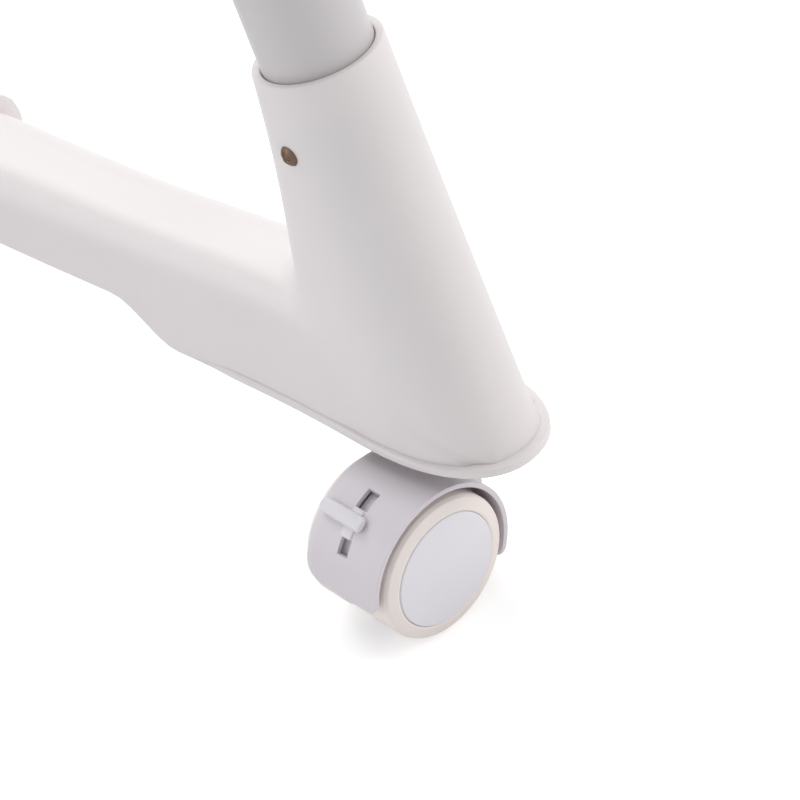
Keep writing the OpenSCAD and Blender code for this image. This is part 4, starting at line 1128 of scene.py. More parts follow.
LOWER_FROM, LOWER_TO, PIVOT_AT, UPPER_LEN = 30.0, 862.0, 1190.0, 590.0
UPPER_TO = PIVOT_AT - 34
LOWER_R, UPPER_R, TUBE_WALL = 18.0, 15.0, 1.5
SCREW_AT, SCREW_TURN = SOCKET_LEN - 24.7, math.radians(12.3)

lower = wall_profile(LOWER_R - TUBE_WALL, LOWER_R, LOWER_FROM, LOWER_TO, 0.5)
turned_piece(Skin(), lower, mast_place(), 160).make(
    "lower_mast_tube", "mast_paint", "root", "mast_paint", ["lower_tube"])
upper = wall_profile(UPPER_R - TUBE_WALL, UPPER_R, UPPER_TO - UPPER_LEN, UPPER_TO, 0.5)
turned_piece(Skin(), upper, mast_place(), 144).make(
    "upper_mast_tube", "chromed_tube", "upper_mast", "chromed_tube", ["upper_tube"])


def pan_head(radius, height, place, skin, recess=0.55, depth=1.0):
    """A round screw head: a dome h cos(pi s / 2) ^ 0.7 over the radius, with a cross pressed into it.
    The cross is deep where a point lies close to either of the two lines through the middle."""
    s = np.concatenate([np.linspace(0.001, 0.92, 16), [0.97, 1.0]])[:, None]
    angle = np.linspace(0, 2 * np.pi, 96, endpoint=False)
    x, y = radius * s * np.cos(angle), radius * s * np.sin(angle)
    dome = height * np.cos(np.pi / 2 * s) ** 0.7
    near = np.minimum(np.abs(x), np.abs(y)) / (radius * 0.17)
    reach = np.maximum(np.abs(x), np.abs(y)) / (radius * recess)
    z = dome - depth * smoothstep(1.35 - near) * smoothstep(2.6 - 2 * reach)
    skin.grid(place.out(np.stack([x, y, z], axis=-1)), wrap_cols=True)
    foot = np.stack([radius * np.cos(angle), radius * np.sin(angle), 0 * angle], axis=-1)
    under = np.stack([foot, foot * [1, 1, 0] + [0, 0, -1.2]])
    skin.grid(place.out(under), wrap_cols=True)
    skin.cap(place.out(under[-1]))


def make_mast_screws():
    """One screw on each side of the socket, turned a little towards the hub."""
    skin = Skin()
    for side in (1, -1):
        local = mast_place(SCREW_AT)
        way = np.array([side * math.cos(SCREW_TURN), -math.sin(SCREW_TURN), 0]) @ local.axes
        head = Place(local.origin + way * (SOCKET_R + 0.6), z=way, x=mast_axis)
        pan_head(3.5, 2.1, head, skin)
        turned_piece(skin, wall_profile(AXIS, 2.0, -7.6, 0.2, [0, 0.4, 0, 0], 2), head, 24)
    skin.make("mast_fixing_screws", "screw_steel", "root", "screw_steel", ["mast_screws"])


make_mast_screws()

# %% [markdown]
# ## The front legs
# They carry no mast, so each is a plain limb with a rounded toe over its caster. The section is the same
# rounded rectangle all the way. Its width follows the foot's outline, and its top comes down towards the
# toe along a curve like a quarter of a squashed circle, so one grid closes into a point at the tip.


# %% Front legs
SHOULDER = -18.0  # where a leg's top starts to come down


def leg_section(y, inset, tip):
    """Half width, top and edge radius of a front leg at y, for a skin moved inwards by `inset`."""
    t = np.clip((y - SHOULDER) / (tip - SHOULDER), 0, 1)
    width = half_width(y) - LIP_SHOWS - 0.7 * smoothstep((y + 80) / 60)
    width = width + (NECK_HALF - width) * smoothstep((-200 - y) / 60)
    q = np.clip((y - TOE_MID) / (tip - TOE_MID), 0, 1)
    width = (width - inset) * (1 - q ** TOE_POWER) ** (1 / TOE_POWER)
    tall = (LIMB_TOP - FOOT_Z - inset) * (1 - t ** 1.8) ** 0.77
    edge = LIMB_ROUND - inset + 5 * smoothstep(t * 2)
    edge = (edge ** -4.0 + (0.97 * width + 1e-3) ** -4.0 + (0.97 * tall + 1e-3) ** -4.0) ** -0.25
    return width, FOOT_Z + tall, edge


def leg_rows(inset, end, tip, side_steps=9, arc_steps=9, top_steps=8):
    """Sections along the leg: up one side, round its edge, over the top, and down the other side."""
    far = np.linspace(end, SHOULDER, 70)[:-1]
    near = SHOULDER + (tip - SHOULDER) * np.sin(np.linspace(0, np.pi / 2, 40))
    y = np.concatenate([far, near])[:, None]
    width, top, edge = leg_section(y, inset, tip)
    low = np.minimum(edge_z(y), top - edge)
    side = np.linspace(0, 1, side_steps, endpoint=False)[None]
    bend = np.linspace(0, np.pi / 2, arc_steps)[None]
    over = np.linspace(0, 1, top_steps)[None, 1:]
    flat = width - edge
    x = np.concatenate([-width + 0 * side, -flat - edge * np.cos(bend), -flat * (1 - over)], axis=1)
    z = np.concatenate([low + (top - edge - low) * side, top - edge + edge * np.sin(bend), top + 0 * over],
                       axis=1)
    x = x * (1 - DRAFT * (z - FOOT_Z) / np.maximum(width, 3))
    half = np.stack([x, y + 0 * x, z], axis=-1)
    return np.concatenate([half, half[:, -2::-1] * [-1, 1, 1]], axis=1)


def make_front_leg(name):
    """An outer and an inner grid joined at both ends and along the lower edge, with lip, boss and ribs."""
    place = leg_places[name]
    end, tip = -313.7, TOE_MID + TOE_LEN - 1.6
    outer, inner = leg_rows(0, end, tip), leg_rows(LEG_WALL, end, tip - LEG_WALL)
    skin = Skin()
    skin.grid(place.out(np.concatenate([outer, inner[::-1]])), wrap_rows=True)
    for side in (0, -1):
        skin.grid(place.out(np.stack([outer[:, side], inner[:, side]], axis=1)))
    foot_lip(skin, place)
    stem_boss(skin, place)
    for a, b in (((0, -60), (0, -9)), ((0, 9), (0, 22)), ((-20, 0), (-9, 0)), ((9, 0), (20, 0))):
        rib(skin, place, a, b, 11)
    neck_boss(skin, place, 289.5)
    skin.make(f"{name}_leg_moulding", "foot_plastic", "root", "foot_plastic", [f"front_leg_{name}"])


for leg in ("right", "left"):
    make_front_leg(leg)

# %% [markdown]
# ## The hub
# Three arms grow out of a round body that holds the ballast. In plan the arms and the disc are joined by
# a smooth minimum, as the foot is. The height then depends only on how far a point lies inside the
# outline, so the whole top gets one soft shoulder that runs round arms and body without a break.

# %% Hub
HUB_R, HUB_ARM, ARM_HALF = 60.0, 105.0, 22.4
HUB_FLOOR, HUB_TOP, HUB_CROWN = 67.2, 104.3, 106.3
HUB_SHOULDER, HUB_CEILING, PIT_R = 14.0, 93.5, 52.3  # the pit holds the ballast from below
CAP_R, CAP_RISE = 34.0, 4.0
BALLAST_R, BALLAST_TALL, HUB_SCREW_AT = 51.5, 26.0, 80.5
hub_place = Place(hub_middle)
arm_ways = [heading(name)[:2] for name in CASTERS]


def hub_plan(x, y):
    """Distance outside the hub's outline, seen from above."""
    far = np.hypot(x, y) - HUB_R
    for way in arm_ways:
        along, across = x * way[0] + y * way[1], np.abs(x * way[1] - y * way[0])
        arm = np.maximum(np.maximum(across - ARM_HALF, (along - HUB_ARM) * 5.0), -along)
        far = smooth_min(far, arm, 16.0)
    return far


def hub_outline(count=300):
    """The outline at equal steps along its length."""
    angle = np.linspace(0, 2 * np.pi, 7200, endpoint=False)
    c, s = np.cos(angle), np.sin(angle)
    radius = halve(lambda r: hub_plan(r * c, r * s) < 0, 30.0 + 0 * angle, 140.0 + 0 * angle)
    loop = np.stack([radius * c, radius * s], axis=1)
    closed = np.r_[loop, loop[:1]]
    length = np.concatenate([[0], np.cumsum(np.linalg.norm(np.diff(closed, axis=0), axis=1))])
    at = np.linspace(0, length[-1], count, endpoint=False)
    return np.stack([np.interp(at, length, closed[:, i]) for i in (0, 1)], axis=1)


def quarter_round(radius, deep):
    """How high an edge stands at a depth inside the outline: sqrt(r^2 - (r - d)^2)."""
    return np.sqrt(np.maximum(radius ** 2 - np.clip(radius - deep, 0, radius) ** 2, 0))


def make_hub():
    """The body is one grid: from the lid's seat out over the top, round the outline and in to the pit."""
    outline = hub_outline()
    way = outline / np.linalg.norm(outline, axis=1, keepdims=True)
    seat, pit = way * (CAP_R + 0.3), way * PIT_R
    top = seat + (outline - seat) * (1 - (1 - np.linspace(0, 1, 30)) ** 1.8)[:, None, None]
    high = HUB_TOP - HUB_SHOULDER + quarter_round(HUB_SHOULDER, -hub_plan(top[..., 0], top[..., 1]))
    high = high + (HUB_CROWN - HUB_TOP) * smoothstep((64 - np.linalg.norm(top, axis=-1)) / 14)
    under = outline + (pit - outline) * np.linspace(0, 1, 14)[:, None, None] ** 1.8
    low = HUB_FLOOR + 1.5 * smoothstep((np.linalg.norm(under, axis=-1) - 58) / 6)
    low = low + 3 - quarter_round(3, -hub_plan(under[..., 0], under[..., 1]))
    flat = np.zeros((2, len(outline)))
    plan = np.concatenate([[seat * 0, seat], top, under, [pit, pit * 0]])
    heights = np.concatenate([flat + HUB_TOP, high, low, flat + HUB_CEILING])
    body = Skin().grid(hub_place.out(np.concatenate([plan, heights[..., None]], axis=-1)), wrap_cols=True)
    body.make("hub_body", "hub_plastic", "root", "hub_plastic", ["hub"])
    dome = arc(1.0, 0, 90, 12) * [CAP_R, CAP_RISE] + [0, HUB_CROWN]
    cap = np.concatenate([[[AXIS, HUB_TOP], [CAP_R - 0.4, HUB_TOP], [CAP_R, HUB_TOP + 0.4]], dome[:-1],
                          [[AXIS, HUB_CROWN + CAP_RISE]]])
    turned_piece(Skin(), cap, hub_place, 120).make(
        "hub_lid", "hub_plastic", "root", "hub_plastic", ["hub_cap"])
    weight = wall_profile(6, BALLAST_R, HUB_FLOOR, HUB_FLOOR + BALLAST_TALL, 0.8)
    turned_piece(Skin(), weight, hub_place).make("hub_ballast", "ballast", "root", "ballast", ["hub_weight"])
    skin = Skin()
    for way in arm_ways:
        place = Place(hub_middle + np.array([*way * HUB_SCREW_AT, HUB_FLOOR + 1.5]), z=(0, 0, -1))
        pan_head(5.0, 3.0, place, skin, recess=0.6, depth=1.6)
        turned_piece(skin, wall_profile(AXIS, 2.4, -14.8, -0.5, [0, 0.5, 0, 0], 2), place, 24)
    skin.make("hub_fixing_screws", "steel", "root", "screw_steel", ["hub_screws"])


make_hub()

# %% [markdown]
# ## Collar, clamp and tilt bracket
# Hands use these pieces every day, so they are thick, round and free of sharp edges. The two star knobs
# are an outline in polar form, a circle whose radius dips six times, with a wide soft edge. The bracket
# is a turned socket with two ears, and the hood hangs between the ears on a steel pin.


# %% Collar and clamp knob
def star_loop(radius, dip=3.4, lobes=6, count=144):
    """r = R - dip * ((1 - cos(n a)) / 2) ^ 1.5 round the knob."""
    a = np.linspace(0, 2 * np.pi, count, endpoint=False)
    r = radius - dip * ((1 - np.cos(lobes * a)) / 2) ** 1.5
    return np.stack([r * np.cos(a), r * np.sin(a)], axis=1)


def star_knob(skin, place, radius, low, high):
    return slab(skin, star_loop(radius), low, high, 2.6, place.out, steps=6)


# heights along the mast count from the foot's lower edge
COLLAR_R, COLLAR_LOW, COLLAR_HIGH, CLAMP_AT = 25.0, 828.0, 890.0, 877.0
COLLAR_BORE, BUSH_SEAT, UPPER_BORE = 18.05, 866.0, 15.3


def make_collar():
    """A sleeve on the lower tube with a boss at its back, and the star knob that clamps the upper tube."""
    profile = rounded([[COLLAR_BORE, COLLAR_LOW], [COLLAR_R - 1.5, COLLAR_LOW], [COLLAR_R, COLLAR_LOW + 8],
                       [COLLAR_R, COLLAR_HIGH - 10], [COLLAR_R - 3, COLLAR_HIGH], [UPPER_BORE, COLLAR_HIGH],
                       [UPPER_BORE, BUSH_SEAT], [COLLAR_BORE, BUSH_SEAT - 1]],
                      [0.6, 1.6, 3, 6, 2.4, 1.0, 0.3, 0.3], steps=5)
    skin = turned_piece(Skin(), profile, mast_place(), 120)
    clamp = mast_place(CLAMP_AT)
    clamp = Place(clamp.origin, z=clamp.axes[1], x=clamp.axes[0])
    turned_piece(skin, wall_profile(3.05, 9, 16, 33, [0, 0, 1.4, 0.5], 4), clamp, 64)
    skin.make("mast_collar", "hub_plastic", "root", "hub_plastic", ["collar"])
    skin = star_knob(Skin(), clamp, 18, 33.3, 49.3)
    turned_piece(skin, wall_profile(AXIS, 3, 15.3, 35, [0, 0.5, 0, 0]), clamp, 32)
    skin.make("clamp_star_knob", "hub_plastic", "clamp_knob", "hub_plastic", ["clamp_knob"])


make_collar()


# %% Tilt bracket, pin and knob
CUP_R, CUP_LOW, CUP_HIGH = 20.0, PIVOT_AT - 90, PIVOT_AT - 28
EAR_R, EAR_IN, EAR_OUT = 17.0, 12.3, 19.3


def make_bracket():
    """A cup on the upper tube with two ears, the pin through them, and the star knob on its end."""
    bore, ceiling = UPPER_R + 0.05, UPPER_TO + 0.2
    profile = rounded([[bore, CUP_LOW], [CUP_R, CUP_LOW], [CUP_R, CUP_HIGH], [AXIS, CUP_HIGH],
                       [AXIS, ceiling], [bore, ceiling]], [0.5, 2.4, 3, 0, 0, 0.5], steps=5)
    skin = turned_piece(Skin(), profile, mast_place(), 120)
    pivot = mast_place(PIVOT_AT)
    ear = Place(pivot.origin, z=pivot.axes[0], x=pivot.axes[1])
    foot = rounded([[-13, -20], [-13, -60], [13, -60], [13, -20]], [8, 5, 5, 8], steps=4)
    for low, high in ((EAR_IN, EAR_OUT), (-EAR_OUT, -EAR_IN)):
        slab(skin, np.concatenate([arc(EAR_R, -10, 190, 40), foot]), low, high, 1.3, ear.out, steps=4)
    skin.make("tilt_bracket", "hub_plastic", "upper_mast", "hub_plastic", ["hood_bracket"])
    side = Place(pivot.origin, z=(1, 0, 0), x=pivot.axes[1])
    pin = rounded([[AXIS, -EAR_OUT - 4], [9, -EAR_OUT - 4], [9, -EAR_OUT], [5, -EAR_OUT], [5, EAR_OUT + 12],
                   [AXIS, EAR_OUT + 12]], [0, 1.4, 0.3, 0.2, 0.8, 0], steps=4)
    turned_piece(Skin(), pin, side, 72).make("tilt_hinge_pin", "steel", "upper_mast", "steel", ["tilt_pin"])
    knob = star_knob(Skin(), side, 20, EAR_OUT + 0.3, EAR_OUT + 18.3)
    knob.make("tilt_star_knob", "hub_plastic", "tilt_knob", "hub_plastic", ["tilt_knob"])


make_bracket()

# %% [markdown]
# ## The dome, its liner and the seal
# The dome is a spun shape, so it is a profile turned round the upright axis. The liner inside it has five
# rings of air holes. Each hole has its own patch of the sphere: a grid that starts on the hole's circle
# and ends on the four borders of its cell, given as turn and tilt angles, and all cells share the points
# on their borders. The borders of every ring are cut into 96 steps, so the rings also fit each other.

# %% Dome
AHEAD, ABOVE = 190.0, 95.0  # from the tilt pin to the dome's middle
DOME_R, DOME_WALL, DOME_LOW, FAN_Z = 175.0, 3.0, -75.0, -10.0
hood_at = np.array([0.0, MAST_AT[1] - AHEAD, MAST_AT[2] + ABOVE])
hood_place = Place(hood_at)
fan_place = Place(hood_at + np.array([0, 0, FAN_Z]), z=(0, 1, 0), x=(1, 0, 0))  # z points backwards


def in_hood(x, y, z):
    """An upright place in the hood."""
    return Place(hood_at + np.array([x, y, z]))


def ball_profile(outer, inner, low, edge, steps=60):
    """Profile of a hollow ball cut off at a height: radius r cos e at height r sin e, up and back down."""
    def quarter(r):
        e = np.linspace(math.asin(low / r), np.pi / 2, steps)
        return np.c_[np.maximum(r * np.cos(e), AXIS), r * np.sin(e)]

    out, back = quarter(outer), quarter(inner)[::-1]
    foot = rounded([out[1], out[0], back[-1], back[-2]], edge, steps=4, closed=False)
    return np.concatenate([out[1:], back[:-1], foot[::-1][1:-1]])


def rod(place, radius, low, high, count=64):
    """A closed round bar as a skin of its own, to cut with."""
    return turned_piece(Skin(), wall_profile(AXIS, radius, low, high), place, count)


def sideways(side):
    """A place on the visor's pivot line whose z axis points to the right or to the left."""
    return Place(hood_at, z=(side, 0, 0), x=(0, 1, 0))


def make_dome():
    """The turned shell. One rod cuts the blower's opening, and one that runs right through both pin holes."""
    skin = turned_piece(Skin(), ball_profile(DOME_R, DOME_R - DOME_WALL, DOME_LOW, 0.9), hood_place, 144)
    cuts = [rod(fan_place, 45.0, 115, 195), rod(sideways(1), 4.0, -195, 195)]
    skin.make("dome_shell", "hood_plastic", "hood", "hood_plastic", ["hood_shell"], cuts=cuts)


# %% Liner and seal
AIR_RINGS = ((24, 8), (42, 12), (60, 16), (78, 16), (96, 16))  # tilt from the top in degrees, number of holes
LINER_OUT, LINER_IN, HOLE_R, RING_HALF = 150.0, 148.0, 4.0, 9.0


def on_ball(r, tilt, turn):
    """Points of a ball: tilt from the top, turn round it. The two may be a column and a row."""
    flat = r * np.sin(tilt)
    return np.stack(np.broadcast_arrays(flat * np.cos(turn), flat * np.sin(turn), r * np.cos(tilt)), axis=-1)


def liner_cell(tilt, turn, half, across, up=6, steps=5):
    """One hole's patch: its inside, the hole's wall and its outside, all as one closed ring of columns."""
    side = np.concatenate([np.c_[np.linspace(-1, 1, across + 1)[:-1], np.full(across, -1.0)],
                           np.c_[np.full(up, 1.0), np.linspace(-1, 1, up + 1)[:-1]],
                           np.c_[np.linspace(1, -1, across + 1)[:-1], np.full(across, 1.0)],
                           np.c_[np.full(up, -1.0), np.linspace(1, -1, up + 1)[:-1]]])
    border = side * [half, math.radians(RING_HALF)]
    way = border * [math.sin(tilt), 1]
    way /= np.linalg.norm(way, axis=1, keepdims=True)
    hole = way * (HOLE_R / LINER_OUT) / [math.sin(tilt), 1]
    share = np.linspace(0, 1, steps + 1)[:, None, None] ** 1.5
    patch = hole + (border - hole) * share
    return np.concatenate([on_ball(r, tilt + p[..., 1], turn + p[..., 0])
                           for r, p in ((LINER_IN, patch[::-1]), (LINER_OUT, patch))])


def make_liner():
    """Rings of cells with one air hole each, a plain cap on top and a plain band down to the edge."""
    skin = Skin()
    for tilt, number in AIR_RINGS:
        half = np.pi / number
        for i in range(number):
            cell = liner_cell(math.radians(tilt), 2 * half * (i + 0.5), half, 96 // number)
            skin.grid(hood_place.out(cell), wrap_cols=True)
    turn = np.linspace(0, 2 * np.pi, 96, endpoint=False)[None]

    def band(r, first, last, steps):
        """A plain part of the liner between two tilts in degrees."""
        return on_ball(r, np.radians(np.linspace(first, last, steps))[:, None], turn)

    for r in (LINER_IN, LINER_OUT):
        skin.grid(hood_place.out(band(r, 0, AIR_RINGS[0][0] - RING_HALF, 6)), wrap_cols=True)
    outer, inner = (band(r, AIR_RINGS[-1][0] + RING_HALF, math.degrees(math.acos(DOME_LOW / r)), 7)
                    for r in (LINER_OUT, LINER_IN))
    skin.grid(hood_place.out(np.concatenate([outer, inner[::-1]])), wrap_cols=True)
    skin.make("perforated_liner", "liner_plastic", "hood", "liner_plastic", ["hood_liner"])


def make_seal(outer=158.1, inner=127.6, tall=8.0):
    """A rubber ring below the gap between dome and liner, with a round lower side."""
    low = DOME_LOW - tall
    profile = rounded([[outer, DOME_LOW], [outer, low], [inner, low], [inner, DOME_LOW]],
                      [0.4, 3.9, 3.9, 0.4], steps=7)
    turned_piece(Skin(), profile, hood_place, 144).make(
        "rim_seal", "seal_rubber", "hood", "seal_rubber", ["hood_rim"])


make_dome()
make_liner()
make_seal()

# %% [markdown]
# ## The visor
# A sheet of tinted plastic that turns about two pins at the dome's sides. It is a strip of a slightly
# larger ball between two planes through the pins' axis, and each end widens into a round ear. Each half
# is three grids in polar form about that axis: the ear on the sheet's side, the ear's back, and the
# sheet, whose angle narrows along a curve from the ear's to the strip's own.

# %% Visor
VISOR_IN, VISOR_EAR, PIVOT_HOLE, VISOR_WALL = 178.0, 18.0, 4.3, 2.4
VISOR_MIDDLE, VISOR_HALF, NECK = -20.0, 32.0, 34.0
NECK_LEN, VISOR_END = 9.0, 40.0
PIN_R, PIN_CAP_R = 3.95, 9.0


def visor_rows(radius, turn):
    """Points of the ball at these distances from the pivot line, turned about it by these degrees from the
    sheet's middle. The distance along the line follows from the ball: sqrt(R^2 - r^2)."""
    turn = np.radians(VISOR_MIDDLE + turn)
    along = np.sqrt(np.maximum(VISOR_IN ** 2 - radius ** 2, 0))[:, None] + 0 * turn
    return np.stack([along, -radius[:, None] * np.cos(turn), radius[:, None] * np.sin(turn)], axis=-1)


def make_visor():
    """An eye round the pin, and a sheet that leaves it at a tangent: its half angle is h + e (1 - sin t), at
    the distance ear + l (1 - cos t), which is a quarter of an ellipse on either side of the neck."""
    t = np.linspace(0, np.pi / 2, 12)
    sheet_r = np.concatenate([
        VISOR_EAR + NECK_LEN * (1 - np.cos(t)),
        np.linspace(VISOR_EAR + NECK_LEN, VISOR_IN - VISOR_END, 24)[1:],
        VISOR_IN - VISOR_END + VISOR_END * np.sin(np.linspace(0, np.pi / 2, 16))[1:]])
    sheet_half = np.concatenate([VISOR_HALF + NECK * (1 - np.sin(t)),
                                 np.full(len(sheet_r) - len(t), VISOR_HALF)])
    eye_r, eye_half = np.linspace(PIVOT_HOLE, VISOR_EAR, 6), VISOR_HALF + NECK
    spread = np.linspace(-1, 1, 61)[None]
    parts = (visor_rows(eye_r, eye_half * spread),
             visor_rows(eye_r, np.linspace(eye_half, 360 - eye_half, 61)[None]),
             visor_rows(sheet_r, sheet_half[:, None] * spread))
    skin = Skin()
    for side in (1, -1):
        for part in parts:
            skin.grid(hood_place.out(part * [side, 1, 1]))
    piece = skin.make("visor_sheet", "visor_clear", "visor", "visor_clear", ["visor"])
    face_outwards(piece, hood_place)
    give_wall(piece, VISOR_WALL, 0.5, 1.0)


def make_visor_pins():
    skin = Skin()
    outside = VISOR_IN + VISOR_WALL + 0.3
    for side in (1, -1):
        place = sideways(side)
        turned_piece(skin, wall_profile(AXIS, PIN_R, 170, outside + 0.5, [0, 0.6, 0, 0]), place, 32)
        cap = rounded([[AXIS, outside], [PIN_CAP_R, outside], [PIN_CAP_R, outside + 1.7], [6.6, outside + 3],
                       [AXIS, outside + 3]], [0, 0.4, 1.0, 1.6, 0], steps=4)
        turned_piece(skin, cap, place, 48)
    skin.make("visor_pivot_pins", "steel", "hood", "steel", ["visor_pins"])


make_visor()
make_visor_pins()

# %% [markdown]
# ## The blower housing
# From the side it is a five-cornered block with round edges, and its front follows the dome. The block is
# the outline of circles round five points, given thickness with a quarter round of the same radius. The
# dome's ball, the hollow, the grille's hole and the panel's window are then cut away with booleans, which
# are exact here because every cutter is closed. The blower shows through the grille's slots.

# %% Housing
EDGE_R, HOUSING_WALL, HOUSING_HALF = 16.0, 3.0, 78.0
HOUSING_EDGES = ((100, -54), (239, -54), (239, 45), (169, 115), (90, 125))  # the edges' middles, back and up
BULKHEAD = 182.0  # how far behind the dome's middle the wall for the blower stands
BULKHEAD_CORNERS = ((-62, -54), (62, -54), (62, 107), (-62, 107))
GLAND_X, GLAND_Y, GLAND_Z, GLAND_R = -48.0, 225.0, -70.0, 7.15
GRILLE_R, GRILLE_FROM, INTAKE_R = 50.0, 251.0, 44.0
side_view = Place(hood_at, z=(1, 0, 0), x=(0, 1, 0))  # local x backwards, local y up, local z to the right


def around(middles, radius, steps=9):
    """Outline of the hull of equal circles: at each middle an arc from one side's normal to the next's."""
    middles = np.asarray(middles, float)
    side = np.roll(middles, -1, axis=0) - middles
    normal = np.arctan2(-side[:, 0], side[:, 1])
    before = np.roll(normal, 1)
    sweep = (normal - before + np.pi) % (2 * np.pi) - np.pi
    angle = before[:, None] + sweep[:, None] * np.linspace(0, 1, steps)[None]
    return (middles[:, None] + radius * np.stack([np.cos(angle), np.sin(angle)], axis=-1)).reshape(-1, 2)


def plate_loop(width, height, radius, steps=8):
    w, h = width / 2, height / 2
    return rounded([[-w, -h], [w, -h], [w, h], [-w, h]], radius, steps=steps)


PANEL_SIZE, WINDOW = (128.0, 62.0), (112.0, 48.0)
panel_way = np.array([0.0, math.sqrt(0.5), math.sqrt(0.5)])  # the slope between two edges faces back and up
panel_place = Place(hood_at + np.array([0, 204.0, 80.0]) + EDGE_R * panel_way, z=panel_way)


def make_housing():
    """A hollow block that the dome's ball, the grille, the panel's window and the gland cut open."""
    # an edge a little under the arcs' radius keeps the slab's first and last outline from closing on itself
    block = slab(Skin(), around(HOUSING_EDGES, EDGE_R), -HOUSING_HALF, HOUSING_HALF, EDGE_R - 0.5,
                 side_view.out, steps=9)
    inner_r, inner_half = EDGE_R - HOUSING_WALL, HOUSING_HALF - HOUSING_WALL
    hollow = slab(Skin(), around(HOUSING_EDGES, inner_r), -inner_half, inner_half, inner_r - 0.5,
                  side_view.out, steps=5)
    ball = arc(DOME_R + 0.1, -90, 90, 97)
    ball[:, 0] = np.maximum(ball[:, 0], AXIS)
    window = slab(Skin(), plate_loop(*WINDOW, 4), -10, 10, 0.0, panel_place.out, steps=1)
    cuts = [hollow, turned_piece(Skin(), ball, hood_place, 192), rod(fan_place, GRILLE_R + 0.3, 235, 275),
            window, rod(in_hood(GLAND_X, GLAND_Y, 0), GLAND_R, -85, -60)]
    block.make("housing_shell", "hood_plastic", "hood", "hood_plastic", ["rear_housing"], cuts=cuts)


def make_housing_fittings():
    """The wall that carries the blower, the lug on the tilt pin, and a ring round the gland's hole."""
    wall = slab(Skin(), around(BULKHEAD_CORNERS, 14.0), BULKHEAD, BULKHEAD + 3, 0.3,
                Place(hood_at, z=(0, 1, 0), x=(-1, 0, 0)).out, steps=2)
    wall.make("housing_bulkhead", "hood_plastic", "hood", "hood_plastic", cuts=[rod(fan_place, 46, 175, 190)])
    neck = rounded([[203.6, -88], [203, -78], [206, -67], [174, -67], [177, -78], [176.4, -88]],
                   [0, 8, 0, 0, 8, 0], steps=5)
    lug = np.concatenate([arc(14.0, -176, -4, 40) + [AHEAD, -ABOVE], neck])
    slab(Skin(), lug, -12, 12, 1.6, side_view.out, steps=5).make(
        "housing_hinge_lug", "hood_plastic", "hood", "hood_plastic",
        cuts=[rod(Place(MAST_AT, z=(1, 0, 0), x=(0, 1, 0)), 5.15, -40, 40)])
    boss = wall_profile(GLAND_R, 10, GLAND_Z - 2, GLAND_Z + 0.5, [0.3, 0.7, 0, 0])
    turned_piece(Skin(), boss, in_hood(GLAND_X, GLAND_Y, 0), 64).make(
        "gland_boss", "hood_plastic", "hood", "hood_plastic")


make_housing()
make_housing_fittings()


# %% Grille and gland
def make_grille():
    """A disc with nine slots that end on one circle, and the cord's rubber gland below it."""
    flange = GRILLE_FROM + 4
    disc = rounded([[AXIS, GRILLE_FROM], [GRILLE_R, GRILLE_FROM], [GRILLE_R, flange], [GRILLE_R + 4, flange],
                    [GRILLE_R + 4, flange + 2], [AXIS, flange + 2]], [0, 0.6, 0, 0.4, 1.2, 0], steps=4)
    cuts = []
    for x in range(-40, 41, 10):
        top = arc(3.0, 0, 180, 13) + [0, math.sqrt(INTAKE_R ** 2 - x ** 2) - 3]
        slot = np.concatenate([top, -top]) + [x, 0]
        cuts.append(slab(Skin(), slot, 245, 262, 0.0, fan_place.out, steps=1))
    turned_piece(Skin(), disc, fan_place, 144).make(
        "intake_slotted_disc", "grille_plastic", "hood", "grille_plastic", ["intake_grille"], cuts=cuts)
    profile = rounded([[3.6, -8], [8.5, -8], [10, -5.5], [10, -2.1], [6.9, -2.1], [6.9, 10], [3.6, 10]],
                      [0.8, 1.5, 1, 0.3, 0.3, 0.8, 0.5], steps=4)
    turned_piece(Skin(), profile, in_hood(GLAND_X, GLAND_Y, GLAND_Z), 72).make(
        "cord_inlet_gland", "gland_rubber", "hood", "gland_rubber", ["cord_gland"])


make_grille()

# %% [markdown]
# ## The control panel
# A brushed plate with two knobs, a rocker and a small lamp. The timer's marks stand every five minutes
# and carry numbers every ten, and the heat switch has four positions. Marks and numbers are real shapes
# that stand 0.06 millimetres high: a print of that kind is a layer of ink, and as geometry it stays crisp
# at any distance.

# %% Panel
KNOB_AT, LAMP_Y, PLATE = 38.0, -19.0, 3.0
INK = 0.06
SCALE_IN, SCALE_OUT, DIGITS_AT = 16.0, 18.6, 21.6  # radii of the marks' ends and of the numbers


def digits(skin, text, x, y, size):
    """Numbers as thin shapes: Blender's own font as a filled curve, made a mesh and moved into place."""
    curve = bpy.data.curves.new("text", "FONT")
    curve.body, curve.size, curve.align_x, curve.align_y = text, size, "CENTER", "CENTER"
    curve.extrude, curve.resolution_u = INK / 2, 3
    holder = bpy.data.objects.new("text", curve)
    bpy.context.scene.collection.objects.link(holder)
    bpy.context.view_layer.update()
    mesh = bpy.data.meshes.new_from_object(holder.evaluated_get(bpy.context.evaluated_depsgraph_get()))
    points = np.zeros(len(mesh.vertices) * 3)
    mesh.vertices.foreach_get("co", points)
    points = points.reshape(-1, 3) * [-1, -1, 1] + [x, y, PLATE + INK / 2]
    for face in mesh.polygons:
        skin.cap(panel_place.out(points[list(face.vertices)]))
    bpy.data.objects.remove(holder)
    bpy.data.meshes.remove(mesh)
    bpy.data.curves.remove(curve)


def mark(skin, x, y, angle, inner, outer, wide):
    """A short bar on the plate, pointing away from (x, y)."""
    way = np.array([math.cos(angle), math.sin(angle)])
    side = np.array([-way[1], way[0]]) * wide / 2
    middle = np.array([x, y])
    loop = np.array([middle + way * inner + side, middle + way * inner - side, middle + way * outer - side,
                     middle + way * outer + side])
    slab(skin, loop, PLATE - 0.02, PLATE + INK, 0.0, panel_place.out, steps=1)


